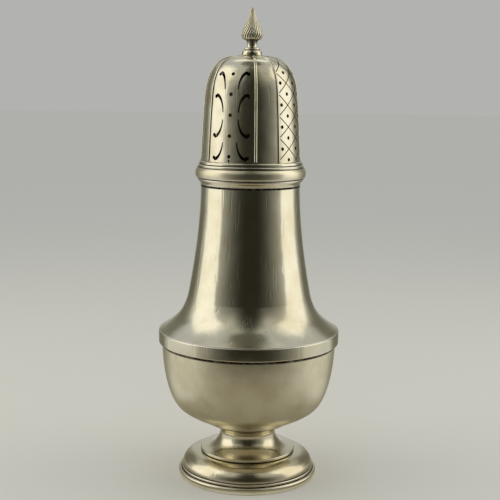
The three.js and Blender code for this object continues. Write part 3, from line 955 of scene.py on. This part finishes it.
@dataclass
class PiercedDome:
    """The cover's dome, with its sawn scrolls, drilled dots, engraved lattice and applied wires.

    A place on the dome is an angle in degrees from -Y towards +X and a height in millimetres,
    measured along the outside from the dome's foot. A scroll's spine is given from its thin end:
    how far out from the panel's middle, how far from mid height, and half the slot's width.
    """

    wall: float = SHEET
    turn_height: float = 26.0
    turn_inset: float = 1.6
    side: Bend = Bend((0.28, 0.36), (0.62, 0.74))
    side_steps: int = 36
    crown_flat: float = 4.6
    crown: Bend = Bend((0.095, 1.05), (0.776, 0.955))
    crown_steps: int = 40
    panels: int = 4
    scroll_panels: tuple[int, ...] = (0, 2)
    lattice_panels: tuple[int, ...] = (1, 3)
    first_panel: float = -25.5
    wide_panel: float = 62.0
    cut_through: float = 3.0
    edge_break: float = 0.1
    flare: float = 0.15
    dot_radius: float = 0.62
    dot_sides: int = 20
    dot_start: float = 2.4
    dot_pitch: float = 7.95
    dot_rows: int = 5
    pin_radius: float = 0.36
    pin_height: float = 0.75
    scroll_middle: float = 18.0
    scroll_tails: tuple[Point, ...] = ((3.5, 1.35), (3.1, 10.1))
    scroll_spine: tuple[tuple[float, float, float], ...] = (
        (0.0, 0.0, 0.1), (0.25, 1.9, 0.2), (0.8, 3.7, 0.3), (1.6, 5.15, 0.42),
        (2.6, 6.15, 0.53), (3.4, 6.5, 0.57), (4.0, 6.42, 0.57),
    )
    scroll_steps: int = 26
    scroll_head: Point = (4.25, 6.05)
    scroll_head_radius: float = 0.64
    lattice_pitch: float = 8.45
    lattice_start: float = 1.2
    lattice_columns: int = 4
    lattice_edge_shift: float = 0.36
    lifted_rows: int = 4
    level_rows: int = 5
    line_rows: range = range(-3, 8)
    line_steps: int = 40
    line_least: int = 5
    line_margin: float = 2.2
    line_foot_gap: float = 0.35
    line_crown_gap: float = 3.0
    groove_half: float = 0.2
    groove_depth: float = 0.14
    groove_lift: float = 0.2
    groove_tip_steps: float = 0.6
    groove_full_steps: float = 2.0
    rib_width: float = 1.1
    rib_rise: float = 0.42
    rib_seat: float = 0.02
    rib_foot_gap: float = 0.25
    rib_sides: int = 9
    rib_steps: int = 90
    button_radius: float = 4.05
    dome_seam_reach: float = 0.4
    rib_seam_reach: float = 0.6
    dull_reach: float = 13.0
    same_way: float = 0.9

    def build(self) -> None:
        """Builds the dome and the eight wires on it."""
        self.extent = Extent.of("cover_dome")
        self.foot = Extent.of("cover_moulding").high
        self.trace()
        self.build_dome()
        for panel in range(self.panels):
            for index, side in enumerate((-1, 1)):
                angle = self.panel_angle(panel) + side * self.wide_panel / 2
                self.build_rib(2 * panel + index + 1, angle)

    def trace(self) -> None:
        """Draws the dome's outside and measures along it."""
        foot = (self.extent.radius, self.foot)
        turn = (self.extent.radius - self.turn_inset, self.foot + self.turn_height)
        top = (self.crown_flat, self.extent.high)
        self.curve = sweep(foot, turn, self.side, self.side_steps)
        self.curve += sweep(turn, top, self.crown, self.crown_steps)[1:]
        self.lengths = [0.0]
        for start, end in zip(self.curve, self.curve[1:]):
            self.lengths.append(self.lengths[-1] + math.dist(start, end))

    def panel_angle(self, panel: int) -> float:
        """The middle of one of the wide panels, in degrees."""
        return self.first_panel + 360 / self.panels * panel

    def along(self, index: int) -> Vector:
        """The way along the outline in the run up to a point, over the runs beside it too."""
        before = Vector(self.curve[max(index - 2, 0)])
        after = Vector(self.curve[min(index + 1, len(self.curve) - 1)])
        return (after - before).normalized()

    def meridian(self, height: float) -> tuple[Point, Point]:
        """Finds a place on the dome's outline.

        Args:
            height: how far along the outline it is.

        Returns:
            Its radius and height above ground, and the way out of the metal there.
        """
        index = min(max(bisect.bisect_left(self.lengths, height), 1), len(self.curve) - 1)
        start, end = Vector(self.curve[index - 1]), Vector(self.curve[index])
        run = self.lengths[index] - self.lengths[index - 1]
        here = start + (end - start) * ((height - self.lengths[index - 1]) / run)
        along = self.along(index)
        return (here.x, here.y), (along.y, -along.x)

    def place(self, angle: float, height: float, lift: float = 0.0) -> Vector:
        """The point at a place on the dome, lifted out of its metal."""
        (radius, level), out = self.meridian(height)
        turn = math.radians(angle)
        reach = radius + out[0] * lift
        return Vector((reach * math.sin(turn), -reach * math.cos(turn), level + out[1] * lift))

    def beside(self, angle: float, height: float, side: float, lift: float = 0.0) -> Vector:
        """The point some millimetres to the side of a place, at the same height."""
        (radius, _), _ = self.meridian(height)
        return self.place(angle + math.degrees(side / radius), height, lift)

    def build_dome(self) -> None:
        """Builds the dome, and cuts its holes and lines."""
        low, high, radius = self.extent.low, self.extent.high, self.extent.radius
        outline = Outline().to(radius, low).through(self.curve).to(SCREW_HOLE, high)
        outline.to(SCREW_HOLE, high - self.wall).through(inset(self.curve, self.wall)[::-1])
        outline.to(radius - self.wall, low)
        shape = self.pierced(outline.turned(Facets.LARGE))
        bmesh.ops.dissolve_degenerate(shape, dist=SAME, edges=shape.edges[:])
        self.drop_crumbs(shape)
        mark_near(
            shape, "tarnish_and_shade", [self.curve[0], (self.button_radius, high)], self.dome_seam_reach
        )
        mark_near(shape, "dull", [(0.0, high)], self.dull_reach)
        piece = place_piece(shape, "pierced_dome", Part.COVER, PIERCED, ["cover_dome"], even=False)
        piece.data.materials.append(CUT.material())
        self.true_shading(piece.data)

    def pierced(self, shape: bmesh.types.BMesh) -> bmesh.types.BMesh:
        """Cuts the holes and lines out of the plain dome.

        Args:
            shape: the plain dome, which is freed.

        Returns:
            The pierced dome, whose cut faces have the second material.
        """
        mesh = as_mesh(shape, "dome_blank")
        mesh.materials.append(PIERCED.material())
        mesh.materials.append(CUT.material())
        blank = add_object("dome_blank", mesh)
        cutters = self.build_cutters()
        cut = blank.modifiers.new("piercing", "BOOLEAN")
        cut.operand_type = "COLLECTION"
        cut.collection = cutters
        cut.solver = "MANIFOLD"
        bpy.context.view_layer.update()
        evaluated = blank.evaluated_get(bpy.context.evaluated_depsgraph_get())
        shape = bmesh.new()
        shape.from_mesh(evaluated.to_mesh())
        evaluated.to_mesh_clear()
        for cutter in list(cutters.objects):
            bpy.data.meshes.remove(cutter.data)
        bpy.data.collections.remove(cutters)
        bpy.data.meshes.remove(mesh)
        return shape

    @staticmethod
    def drop_crumbs(shape: bmesh.types.BMesh) -> None:
        """Deletes the crumbs of metal that the cuts leave loose, all but the largest part."""
        left, largest = set(shape.verts), set()
        while left:
            part, newest = set(), {left.pop()}
            while newest:
                part |= newest
                newest = {
                    edge.other_vert(point) for point in newest for edge in point.link_edges
                } - part
            left -= part
            largest = max(largest, part, key=len)
        crumbs = [point for point in shape.verts if point not in largest]
        bmesh.ops.delete(shape, geom=crumbs, context="VERTS")

    def build_cutters(self) -> bpy.types.Collection:
        """Makes a solid for each hole and each engraved line.

        Returns:
            The collection that holds them.
        """
        cutters = bpy.data.collections.new("cutters")
        bpy.context.scene.collection.children.link(cutters)
        for panel in self.scroll_panels:
            middle = self.panel_angle(panel)
            for row in range(self.dot_rows):
                height = self.dot_start + row * self.dot_pitch
                self.add_cutter(cutters, self.dot(middle, height, self.dot_radius))
            self.add_cutter(cutters, self.dot(middle, self.pin_height, self.pin_radius))
            for tail in self.scroll_tails:
                for side in (-1, 1):
                    for rise in (-1, 1):
                        for loops in self.scroll(middle, tail, side, rise):
                            self.add_cutter(cutters, loops)
        for panel in self.lattice_panels:
            middle = self.panel_angle(panel)
            for loops in self.lattice_dots(middle) + self.lattice_lines(middle):
                self.add_cutter(cutters, loops)
        return cutters

    @staticmethod
    def add_cutter(cutters: bpy.types.Collection, loops: list[list[Vector]]) -> None:
        """Skins one cutter and puts it in the collection."""
        shape = bmesh.new()
        skin(shape, loops)
        bmesh.ops.recalc_face_normals(shape, faces=shape.faces[:])
        mesh = as_mesh(shape, "cutter")
        mesh.materials.append(CUT.material())
        cutters.objects.link(bpy.data.objects.new("cutter", mesh))

    def dot(self, angle: float, height: float, radius: float) -> list[list[Vector]]:
        """Makes the loops of a drilled hole with a broken edge."""
        levels = [
            (radius, -self.cut_through * self.wall), (radius, -self.edge_break),
            (radius + self.edge_break + self.flare, self.flare),
        ]
        turns = [2 * math.pi * side / self.dot_sides for side in range(self.dot_sides)]
        return [
            [
                self.beside(angle, height + reach * math.sin(turn), reach * math.cos(turn), lift)
                for turn in turns
            ]
            for reach, lift in levels
        ]

    def stroke(
        self, angle: float, spine: list[tuple[Vector, Vector, float]]
    ) -> list[list[Vector]]:
        """Makes the loops of a sawn slot along a line on the dome.

        Args:
            angle: the middle of the panel.
            spine: the slot's places, the way across it there and its half width.

        Returns:
            A section of the cutter at each place.
        """
        loops = []
        bottom = -self.cut_through * self.wall
        for middle, across, half in spine:
            wide = half + self.edge_break + self.flare
            section = [
                (-half, bottom), (half, bottom), (half, -self.edge_break),
                (wide, self.flare), (-wide, self.flare), (-half, -self.edge_break),
            ]
            turned = angle + self.degrees_round(middle.x)
            loops.append([
                self.beside(turned, middle.y + across.y * out, across.x * out, lift)
                for out, lift in section
            ])
        return loops

    def degrees_round(self, side: float) -> float:
        """The angle of a way to the side, which is measured round the dome's foot."""
        return math.degrees(side / self.extent.radius)

    def scroll(
        self, angle: float, tail: Point, side: int, rise: int
    ) -> list[list[list[Vector]]]:
        """Makes one hooked scroll: a slot that widens from its tail, and its drilled head.

        Args:
            angle: the middle of the panel.
            tail: how far out from the middle and from mid height the thin end is.
            side: -1 or 1, the half of the panel.
            rise: -1 or 1, below or above mid height.

        Returns:
            The loops of both cutters.
        """
        marks = [
            Vector((side * (tail[0] + out), self.scroll_middle + rise * (tail[1] + away), half))
            for out, away, half in self.scroll_spine
        ]
        steps = self.scroll_steps
        track = [smooth_between(marks, step / steps) for step in range(steps + 1)]
        spine = []
        for index, mark in enumerate(track):
            before, after = track[max(index - 1, 0)], track[min(index + 1, steps)]
            along = after.xy - before.xy
            along.x *= self.meridian(mark.y)[0][0] / self.extent.radius
            along.normalize()
            spine.append((mark.xy, Vector((-along.y, along.x)), mark.z))
        head = (
            angle + self.degrees_round(side * (tail[0] + self.scroll_head[0])),
            self.scroll_middle + rise * (tail[1] + self.scroll_head[1]),
        )
        return [self.stroke(angle, spine), self.dot(*head, self.scroll_head_radius)]

    def lattice_dots(self, middle: float) -> list[list[list[Vector]]]:
        """Makes the dots in the diamonds; every other column is half a diamond higher."""
        holes = []
        column_angle = self.wide_panel / self.lattice_columns
        for column in range(self.lattice_columns + 1):
            lifted = column % 2 == 0
            outermost = column in (0, self.lattice_columns)
            inward = math.copysign(self.lattice_edge_shift, self.lattice_columns / 2 - column)
            angle = middle - self.wide_panel / 2 + (column + inward * outermost) * column_angle
            start = self.lattice_start + (self.lattice_pitch / 2 if lifted else 0)
            for row in range(self.lifted_rows if lifted else self.level_rows):
                holes.append(self.dot(angle, start + row * self.lattice_pitch, self.dot_radius))
        return holes

    def lattice_lines(self, middle: float) -> list[list[list[Vector]]]:
        """Makes the engraved lines, each straight from one wire of the panel to the other."""
        lines = []
        rise = self.lattice_pitch * self.lattice_columns / 2
        low, high = self.line_foot_gap, self.lengths[-1] - self.line_crown_gap
        width = self.wide_panel - self.line_margin
        for lean in (-1, 1):
            for row in self.line_rows:
                offset = self.lattice_start + row * self.lattice_pitch
                spots = []
                for step in range(self.line_steps + 1):
                    share = step / self.line_steps
                    height = offset + rise * (share if lean > 0 else 1 - share)
                    if low < height < high:
                        spots.append((middle + (share - 0.5) * width, height))
                if len(spots) >= self.line_least:
                    lines.append(self.groove(spots))
        return lines

    def groove(self, spots: list[Point]) -> list[list[Vector]]:
        """Makes the loops of a V cut that thins out at both ends."""
        loops = []
        last = len(spots) - 1
        for index, (angle, height) in enumerate(spots):
            before, after = spots[max(index - 1, 0)], spots[min(index + 1, last)]
            radius = self.meridian(height)[0][0]
            along = Vector((math.radians(after[0] - before[0]) * radius, after[1] - before[1]))
            across = Vector((-along.y, along.x)).normalized()
            steps = min(index, last - index) + self.groove_tip_steps
            fade = min(1.0, steps / self.groove_full_steps)
            half, deep = self.groove_half * fade, self.groove_depth * fade
            lift = self.groove_lift
            wide = half * (1 + lift / deep)
            section = [(0.0, -deep), (wide, lift), (-wide, lift)]
            loops.append([
                self.beside(angle, height + across.y * out, across.x * out, raised)
                for out, raised in section
            ])
        return loops

    def true_shading(self, mesh: bpy.types.Mesh) -> None:
        """Gives the dome's own surfaces the normals of the turned shape, between the cuts.

        A face belongs to them where it points nearly the same way as the turned shape.

        Args:
            mesh: the finished dome, in metres.
        """
        normals = [corner.vector.copy() for corner in mesh.corner_normals]
        levels = [point[1] for point in self.curve]
        for face in mesh.polygons:
            if face.material_index != 0:
                continue
            for loop in face.loop_indices:
                point = mesh.vertices[mesh.loops[loop].vertex_index].co / MM
                radius = math.hypot(point.x, point.y)
                if point.z < self.foot or radius < self.crown_flat:
                    continue
                index = min(max(bisect.bisect_left(levels, point.z), 1), len(levels) - 1)
                along = self.along(index)
                out = Vector((along.y * point.x / radius, along.y * point.y / radius, -along.x))
                facing = face.normal.dot(out)
                if abs(facing) > self.same_way:
                    normals[loop] = out if facing > 0 else -out
        mesh.normals_split_custom_set(normals)

    def build_rib(self, number: int, angle: float) -> None:
        """Builds one half-round wire, from the dome's foot over to the finial.

        Args:
            number: the wire's number.
            angle: where it runs.
        """
        reach = self.button_radius + self.rib_width / 2
        top = self.lengths[-1] - max(reach - self.crown_flat, 0)
        loops = []
        for step in range(self.rib_steps + 1):
            height = self.rib_foot_gap + (top - self.rib_foot_gap) * step / self.rib_steps
            section = []
            for side in range(self.rib_sides):
                turn = math.pi * side / (self.rib_sides - 1)
                out = self.rib_width / 2 * math.cos(turn)
                lift = self.rib_seat + self.rib_rise * math.sin(turn)
                section.append(self.beside(angle, height, out, lift))
            loops.append(section)
        shape = bmesh.new()
        skin(shape, loops)
        bmesh.ops.recalc_face_normals(shape, faces=shape.faces[:])
        mark_near(shape, "tarnish_and_shade", [self.curve[0]], self.rib_seam_reach)
        place_piece(
            shape, f"applied_wire_{number}", Part.COVER, PIERCED, [f"cover_rib_{number}"],
            even=False,
        )


@dataclass
class Finial:
    """The finial: a turned button, the wrythen flame on its spool, and the screw that holds it.

    The shapes of the spool and flame are shares of their radius and height. The places where
    reeds, tarnish and painted shade start and end are shares of the flame's height.
    """

    button_height: float = 2.25
    button_foot: tuple[Corner, ...] = (Corner(-0.15, 0.0, 0.15), Corner(0.0, 0.8, 0.6))
    button_shoulder: tuple[Corner, ...] = (Corner(-0.1, -0.5, 0.5), Corner(-0.7, 0.0, 0.3))
    button_rub_glint: Point = (-0.5, -0.15)
    disc_radius: float = 3.3
    disc_foot: tuple[Corner, ...] = (Corner(-0.5, 0.1, 0.1), Corner(0.0, 0.35, 0.25))
    disc_top: tuple[Corner, ...] = (Corner(0.0, -0.2, 0.2), Corner(-0.3, 0.0, 0.15))
    disc_rub_glint: Point = (0.0, -0.25)
    disc_seam: Point = (-0.5, 0.1)
    button_seam_reach: float = 0.3
    stud_in_flame: float = 1.9
    socket_gap: float = 0.12
    spool_radius: float = 2.05
    spool_height: float = 3.15
    spool_shape: tuple[Point, ...] = (
        (1.22, 0.0), (1.1, 0.04), (1.02, 0.12), (1.0, 0.25), (1.0, 0.62), (1.04, 0.76),
        (1.13, 0.88), (1.33, 0.96),
    )
    spool_shade: float = 0.16
    flame_shape: tuple[Point, ...] = (
        (0.7, 0.0), (0.82, 0.018), (0.92, 0.06), (0.99, 0.12), (1.0, 0.17), (0.945, 0.24),
        (0.82, 0.36), (0.65, 0.48), (0.495, 0.605), (0.355, 0.726), (0.25, 0.848), (0.21, 0.92),
        (0.185, 0.962), (0.12, 0.99), (0.045, 0.9985),
    )
    flame_rows: int = 160
    flame_twist: float = 70.0
    reeds: int = 24
    reed_columns: int = 8
    reed_depth: float = 0.1
    reed_start: float = 0.02
    reed_end: float = 0.05
    reed_thinning: float = 0.5
    reed_sharpness: float = 2.3
    reed_tarnish: float = 1.3
    reed_tarnish_sharpness: float = 2.4
    reed_tarnish_thinning: float = 0.9
    thread_pitch: float = 0.4
    thread_depth: float = 0.2
    thread_start: float = 0.2
    thread_rise: float = 0.3
    thread_soft: float = 0.05
    washer_hole_soft: float = 0.08
    washer_low_soft: float = 0.15
    washer_top_soft: float = 0.1
    nut_flats: float = 4.2
    nut_chamfer: Point = (0.25, 0.15)

    def build(self) -> None:
        """Builds the five pieces of the finial."""
        self.button = Extent.of("finial_button")
        self.flame = Extent.of("finial_flame")
        self.build_button()
        self.build_flame()
        self.build_screw()

    def build_button(self) -> None:
        """Builds the turned button with its thin upper disc."""
        low, high, outer = self.button.low, self.button.high, self.button.radius
        top, disc = low + self.button_height, self.disc_radius
        outline = Outline().to(SCREW_HOLE, low)
        outline.near(outer, low, self.button_foot).near(outer, top, self.button_shoulder)
        outline.near(disc, top, self.disc_foot).near(disc, high, self.disc_top)
        outline.to(SCREW_HOLE, high)
        shape = outline.turned(
            Facets.SMALL,
            [shifted((disc, top), self.disc_seam), (outer, low), (self.spool_radius, high)],
            self.button_seam_reach,
            [shifted((disc, high), self.disc_rub_glint), shifted((outer, top), self.button_rub_glint)],
        )
        place_piece(shape, "turned_button", Part.COVER, CAST, ["finial_button"])

    def build_flame(self) -> None:
        """Builds the spool and flame in one casting, with its reeds wound to the right."""
        seat, tip = self.flame.low, self.flame.high
        base = seat + self.spool_height
        height, wide = tip - base, self.flame.radius
        socket = seat + self.stud_in_flame + self.socket_gap
        marks = [
            Vector((self.spool_radius * out, seat + self.spool_height * up, 0))
            for out, up in self.spool_shape
        ]
        marks += [Vector((wide * out, base + height * up, 0)) for out, up in self.flame_shape]
        rows = self.flame_rows
        side = [tuple(smooth_between(marks, row / rows).xy) for row in range(rows + 1)]
        outline = Outline().to(0, socket).to(SCREW_HOLE, socket).to(SCREW_HOLE, seat)
        outline.through(side).to(0, tip)
        shape = self.turn_reeds(outline, base, height)
        place_piece(shape, "wrythen_flame", Part.COVER, CAST, ["finial_flame"], even=False)

    def turn_reeds(self, outline: Outline, base: float, height: float) -> bmesh.types.BMesh:
        """Turns the flame and presses its reeds in.

        Args:
            outline: the flame's outline.
            base: the level where the reeds start.
            height: the flame's height.

        Returns:
            The reeded mesh.
        """
        shape, _ = outline.wire()
        spin_round(shape, self.reeds * self.reed_columns)
        layer = shape.verts.layers.float.new("tarnish_and_shade")
        for point in shape.verts:
            share = (point.co.z - base) / height
            if share <= 0 or point.co.xy.length < AXIS:
                # Just under the flame the spool darkens upwards: painted shade beneath the flame.
                point[layer] = min(1.0, max(0.0, 1 + share / self.spool_shade)) ** 0.5
                continue
            turn = math.atan2(point.co.y, point.co.x)
            low = 1 - abs(math.sin(turn * self.reeds / 2))
            fade = min(1.0, share / self.reed_start) * min(1.0, (1 - share) / self.reed_end)
            fade *= 1 - self.reed_thinning * share
            left = 1 - self.reed_depth * low ** self.reed_sharpness * fade
            held = self.reed_tarnish * low ** self.reed_tarnish_sharpness * fade
            held *= 1 - self.reed_tarnish_thinning * share
            # The grooves hold tarnish, and the flame's foot darkens as painted shade where it meets
            # the spool.
            point[layer] = min(1.0, held + max(0.0, 1 - share / self.reed_start))
            spun = Matrix.Rotation(math.radians(self.flame_twist) * share, 3, "Z")
            point.co = spun @ Vector((point.co.x * left, point.co.y * left, point.co.z))
        bmesh.ops.recalc_face_normals(shape, faces=shape.faces[:])
        return shape

    def build_screw(self) -> None:
        """Builds the screw inside the crown, with its washer and nut."""
        self.build_stud(Extent.of("finial_stud"))
        self.build_washer(Extent.of("finial_washer"))
        self.build_nut(Extent.of("finial_nut"))

    def build_stud(self, stud: Extent) -> None:
        """Builds the screw, with a ridge for each turn of its thread."""
        core = stud.radius - self.thread_depth
        outline = Outline().to(0, stud.low).to(core, stud.low)
        pitch, level = self.thread_pitch, stud.low + self.thread_start
        while level + pitch < stud.high:
            outline.to(stud.radius, level + pitch * self.thread_rise, self.thread_soft)
            outline.to(core, level + pitch, self.thread_soft)
            level += pitch
        outline.to(core, stud.high).to(0, stud.high)
        shape = outline.turned(Facets.SMALL)
        place_piece(shape, "finial_screw", Part.COVER, SCREW, ["finial_stud"])

    def build_washer(self, washer: Extent) -> None:
        """Builds the washer under the nut."""
        outline = Outline().to(SCREW_HOLE, washer.low, self.washer_hole_soft)
        outline.to(washer.radius, washer.low, self.washer_low_soft)
        outline.to(washer.radius, washer.high, self.washer_top_soft).to(SCREW_HOLE, washer.high)
        shape = outline.turned(Facets.SMALL)
        place_piece(shape, "screw_washer", Part.COVER, SCREW, ["finial_washer"])

    def build_nut(self, nut: Extent) -> None:
        """Builds the nut: a turned blank whose six flats are pressed in."""
        corner = self.nut_flats / math.sqrt(3)
        chamfer, rise = self.nut_chamfer
        outline = Outline().to(SCREW_HOLE, nut.low).to(corner - chamfer, nut.low)
        outline.to(corner, nut.low + rise).to(corner, nut.high - rise)
        outline.to(corner - chamfer, nut.high).to(SCREW_HOLE, nut.high)
        shape = outline.turned(Facets.SMALL)
        for point in shape.verts:
            turn = math.atan2(point.co.y, point.co.x) % (math.pi / 3) - math.pi / 6
            cut = self.nut_flats / 2 / math.cos(turn) / point.co.xy.length
            if cut < 1:
                bmesh.ops.scale(shape, vec=(cut, cut, 1), verts=[point])
        place_piece(shape, "screw_nut", Part.COVER, SCREW, ["finial_nut"])


def matt_material(name: str) -> bpy.types.Material:
    """Starts a material without any gloss, whose colour is still to be set."""
    made = bpy.data.materials.new(name)
    made.use_nodes = True
    shader = made.node_tree.nodes["Principled BSDF"]
    shader.inputs["Roughness"].default_value = 1.0
    shader.inputs["Specular IOR Level"].default_value = 0.0
    return made


@dataclass(frozen=True)
class Softbox:
    """A soft light that looks at the caster.

    It is placed by its direction from there, in degrees from -Y towards +X and of rise. Sizes
    are in millimetres, and its radiance is how bright its face is.
    """

    name: str
    azimuth: float
    rise: float
    width: float
    height: float
    radiance: float
    away: float = 560.0
    spread: float = 150.0

    def build(self, aim: Vector, colour: str) -> None:
        """Hangs the softbox.

        Args:
            aim: the point that it looks at, in millimetres.
            colour: the colour of its light.
        """
        lamp = bpy.data.lights.new(self.name, "AREA")
        lamp.shape = "RECTANGLE"
        lamp.size, lamp.size_y = self.width * MM, self.height * MM
        lamp.energy = self.radiance * math.pi * lamp.size * lamp.size_y
        lamp.color = linear(colour)[:3]
        lamp.spread = math.radians(self.spread)
        turn, rise = math.radians(self.azimuth), math.radians(self.rise)
        way = Vector((
            math.cos(rise) * math.sin(turn), -math.cos(rise) * math.cos(turn), math.sin(rise),
        ))
        stand = add_object(self.name, lamp)
        facing = (-way).to_track_quat("-Z", "Y").to_matrix().to_4x4()
        stand.matrix_world = Matrix.Translation((aim + way * self.away) * MM) @ facing
        stand.visible_camera = False


@dataclass(frozen=True)
class Cloth:
    """A cloth or mat that only the silver sees, hung, laid or held up round the caster.

    Its line, radius and height in millimetres, is turned from one angle to another. Its colour is
    painted shade and light of the room, for the silver to mirror: it is darkest in its middle, and
    turns paler to its sides, towards its upper corners and straight above the caster, as the lit
    room round a camera does.
    """

    name: str
    start: float
    end: float
    line: tuple[Point, ...]
    dark: str
    pale: str = "e8e7e0"
    core: float = 10.0
    eye: float = 90.0
    side_share: float = 0.7
    side_power: float = 2.2
    upper_share: float = 0.9
    upper_rise: Point = (12, 45)
    upper_side: Point = (8, 40)
    top_share: float = 0.25
    top_rise: Point = (45, 90)
    rows: int = 8
    columns: int = 40

    def build(self) -> None:
        """Turns the cloth's line about the upright axis, and paints its shade and light."""
        shape = bmesh.new()
        turn = Matrix.Rotation(math.radians(self.start - 90), 3, "Z")
        points = [shape.verts.new(turn @ Vector((radius, 0, level))) for radius, level in self.line]
        for pair in zip(points, points[1:]):
            shape.edges.new(pair)
        bmesh.ops.bisect_edges(shape, edges=shape.edges[:], cuts=self.rows)
        bmesh.ops.spin(
            shape, geom=shape.verts[:] + shape.edges[:], cent=(0, 0, 0), axis=(0, 0, 1),
            angle=math.radians(self.end - self.start), steps=self.columns,
        )
        layer = shape.verts.layers.float.new("pale")
        for point in shape.verts:
            point[layer] = self.painted_light_share(point.co)
        bmesh.ops.scale(shape, vec=(MM, MM, MM), verts=shape.verts[:])
        hung = add_object(self.name, as_mesh(shape, self.name))
        hung.data.materials.append(self.material())
        hung.visible_camera = False
        hung.visible_diffuse = False
        hung.visible_shadow = False

    def material(self) -> bpy.types.Material:
        """Colours the cloth from its dark to its pale colour, as painted shade and light of the
        room.
        """
        # Matt wool, coloured with painted shade and light of the room: the silver mirrors its soft
        # darks and lights, and it has no gloss of its own.
        wool = matt_material(f"{self.name}_matt_wool")
        tree = wool.node_tree
        share = add_node(tree, "ShaderNodeAttribute", "Fac", {}, attribute_name="pale")
        shade = add_node(tree, "ShaderNodeMix", 2, {
            0: share, 6: linear(self.dark), 7: linear(self.pale),
        }, data_type="RGBA")
        tree.links.new(shade, tree.nodes["Principled BSDF"].inputs["Base Color"])
        return wool

    def painted_light_share(self, point: Vector) -> float:
        """How much painted room light the cloth has at a point.

        Args:
            point: a point of the cloth, in millimetres.

        Returns:
            0 for the dark middle, up to 1 for the pale edge.
        """
        def within(bounds: Point, value: float) -> float:
            """How far a value has come between two bounds, eased."""
            start, end = bounds
            return smooth(min(max((value - start) / (end - start), 0.0), 1.0))

        azimuth = math.degrees(math.atan2(point.x, -point.y))
        away = abs(azimuth - (self.start + self.end) / 2)
        rise = math.degrees(math.atan2(point.z - self.eye, point.xy.length))
        half = (self.end - self.start) / 2
        side = max(0.0, (away - self.core) / (half - self.core)) ** self.side_power
        upper = within(self.upper_rise, rise) * within(self.upper_side, away)
        top = within(self.top_rise, rise)
        return min(1.0, self.side_share * side + self.upper_share * upper + self.top_share * top)


@dataclass
class Studio:
    """The camera, the pale floor and room, the soft lights, and the cloths that the silver sees."""

    sensor: float = 36.0
    lens: float = 77.04
    camera_place: tuple[float, float, float] = (0.133, -429.97, 159.4)
    pitch: float = 8.72
    roll: float = 0.68
    aim: tuple[float, float, float] = (0, 0, 90)
    light: str = "fff6e0"
    room: str = "b2b3b0"
    paper: str = "fbfbf8"
    floor_half: float = 6000.0
    softboxes: tuple[Softbox, ...] = (
        Softbox("left_softbox", -89, 15.5, 500, 440, 0.43),
        Softbox("right_softbox", 94, 15.5, 460, 440, 0.43),
        Softbox("left_upper_softbox", -88, 45.5, 480, 175, 0.44),
        Softbox("right_upper_softbox", 92, 45.5, 440, 175, 0.44),
        Softbox("left_top_softbox", -86, 58, 280, 60, 0.25),
        Softbox("right_top_softbox", 90, 58, 220, 60, 0.25),
        Softbox("back_softbox", 180, 64, 360, 140, 0.42),
    )
    # The cloths stand where the room round the caster is in shade, and their colours paint that
    # shade and the room's light for the silver to mirror. The mats paint the floor's shade in front
    # of and under the caster.
    cloths: tuple[Cloth, ...] = (
        Cloth(
            "front_cloth", -64, 68,
            ((170, 1), (650, 1), (650, 420), (450, 620), (160, 720), (1, 730)), "3a3931",
            side_share=0.9,
        ),
        Cloth(
            "left_edge_cloth", -164, -118, ((72, 1), (650, 1), (650, 440)), "8f8e83", core=6,
            side_share=1,
        ),
        Cloth(
            "right_edge_cloth", 120, 164, ((72, 1), (650, 1), (650, 440)), "8f8e83", core=6,
            side_share=1,
        ),
        Cloth(
            "front_mat", -72, 78, ((72, 1), (170, 1)), "b8b2a2", "fbfbf8", core=8, side_share=1,
        ),
        # Darker than the floor paper: painted shade of the floor under the caster, seen only in the
        # silver.
        Cloth("under_mat", -180, 180, ((29, 1), (72, 1)), "b8b4a6", side_share=0),
        Cloth("top_cloth", -180, 180, ((1, 700), (155, 700)), "63625a", "737268", side_share=0),
    )

    def build(self) -> None:
        """Sets up everything that isn't the caster."""
        bpy.context.scene.view_settings.view_transform = "Standard"
        self.build_camera()
        self.build_floor()
        self.build_world()
        for softbox in self.softboxes:
            softbox.build(Vector(self.aim), self.light)
        for cloth in self.cloths:
            cloth.build()

    def build_camera(self) -> None:
        """Places the camera at the photograph's viewing angle."""
        camera = add_object("camera", bpy.data.cameras.new("camera"))
        camera.data.sensor_width = self.sensor
        camera.data.lens = self.lens
        tilt = Matrix.Rotation(math.radians(90 - self.pitch), 4, "X")
        lean = Matrix.Rotation(math.radians(self.roll), 4, "Z")
        camera.matrix_world = Matrix.Translation(Vector(self.camera_place) * MM) @ tilt @ lean
        bpy.context.scene.camera = camera

    def build_floor(self) -> None:
        """Lays the pale floor."""
        shape = bmesh.new()
        bmesh.ops.create_grid(shape, x_segments=1, y_segments=1, size=self.floor_half * MM)
        floor = add_object("floor", as_mesh(shape, "floor"))
        # Matt paper: a pale even ground that shows the caster's soft shadow.
        paper = matt_material("floor_paper_matt")
        shader = paper.node_tree.nodes["Principled BSDF"]
        shader.inputs["Base Color"].default_value = linear(self.paper)
        floor.data.materials.append(paper)

    def build_world(self) -> None:
        """Fills the room with an even, pale light."""
        world = bpy.data.worlds.new("studio")
        bpy.context.scene.world = world
        world.use_nodes = True
        sky = world.node_tree.nodes["Background"]
        sky.inputs["Color"].default_value = linear(self.room)


def main() -> None:
    """Builds the studio and every piece of the caster."""
    logging.basicConfig(level=logging.INFO, format="%(name)s: %(message)s")
    for assembly in (Studio(), Foot(), Bowl(), Neck(), CoverRim(), PiercedDome(), Finial()):
        assembly.build()


if __name__ == "__main__":
    main()
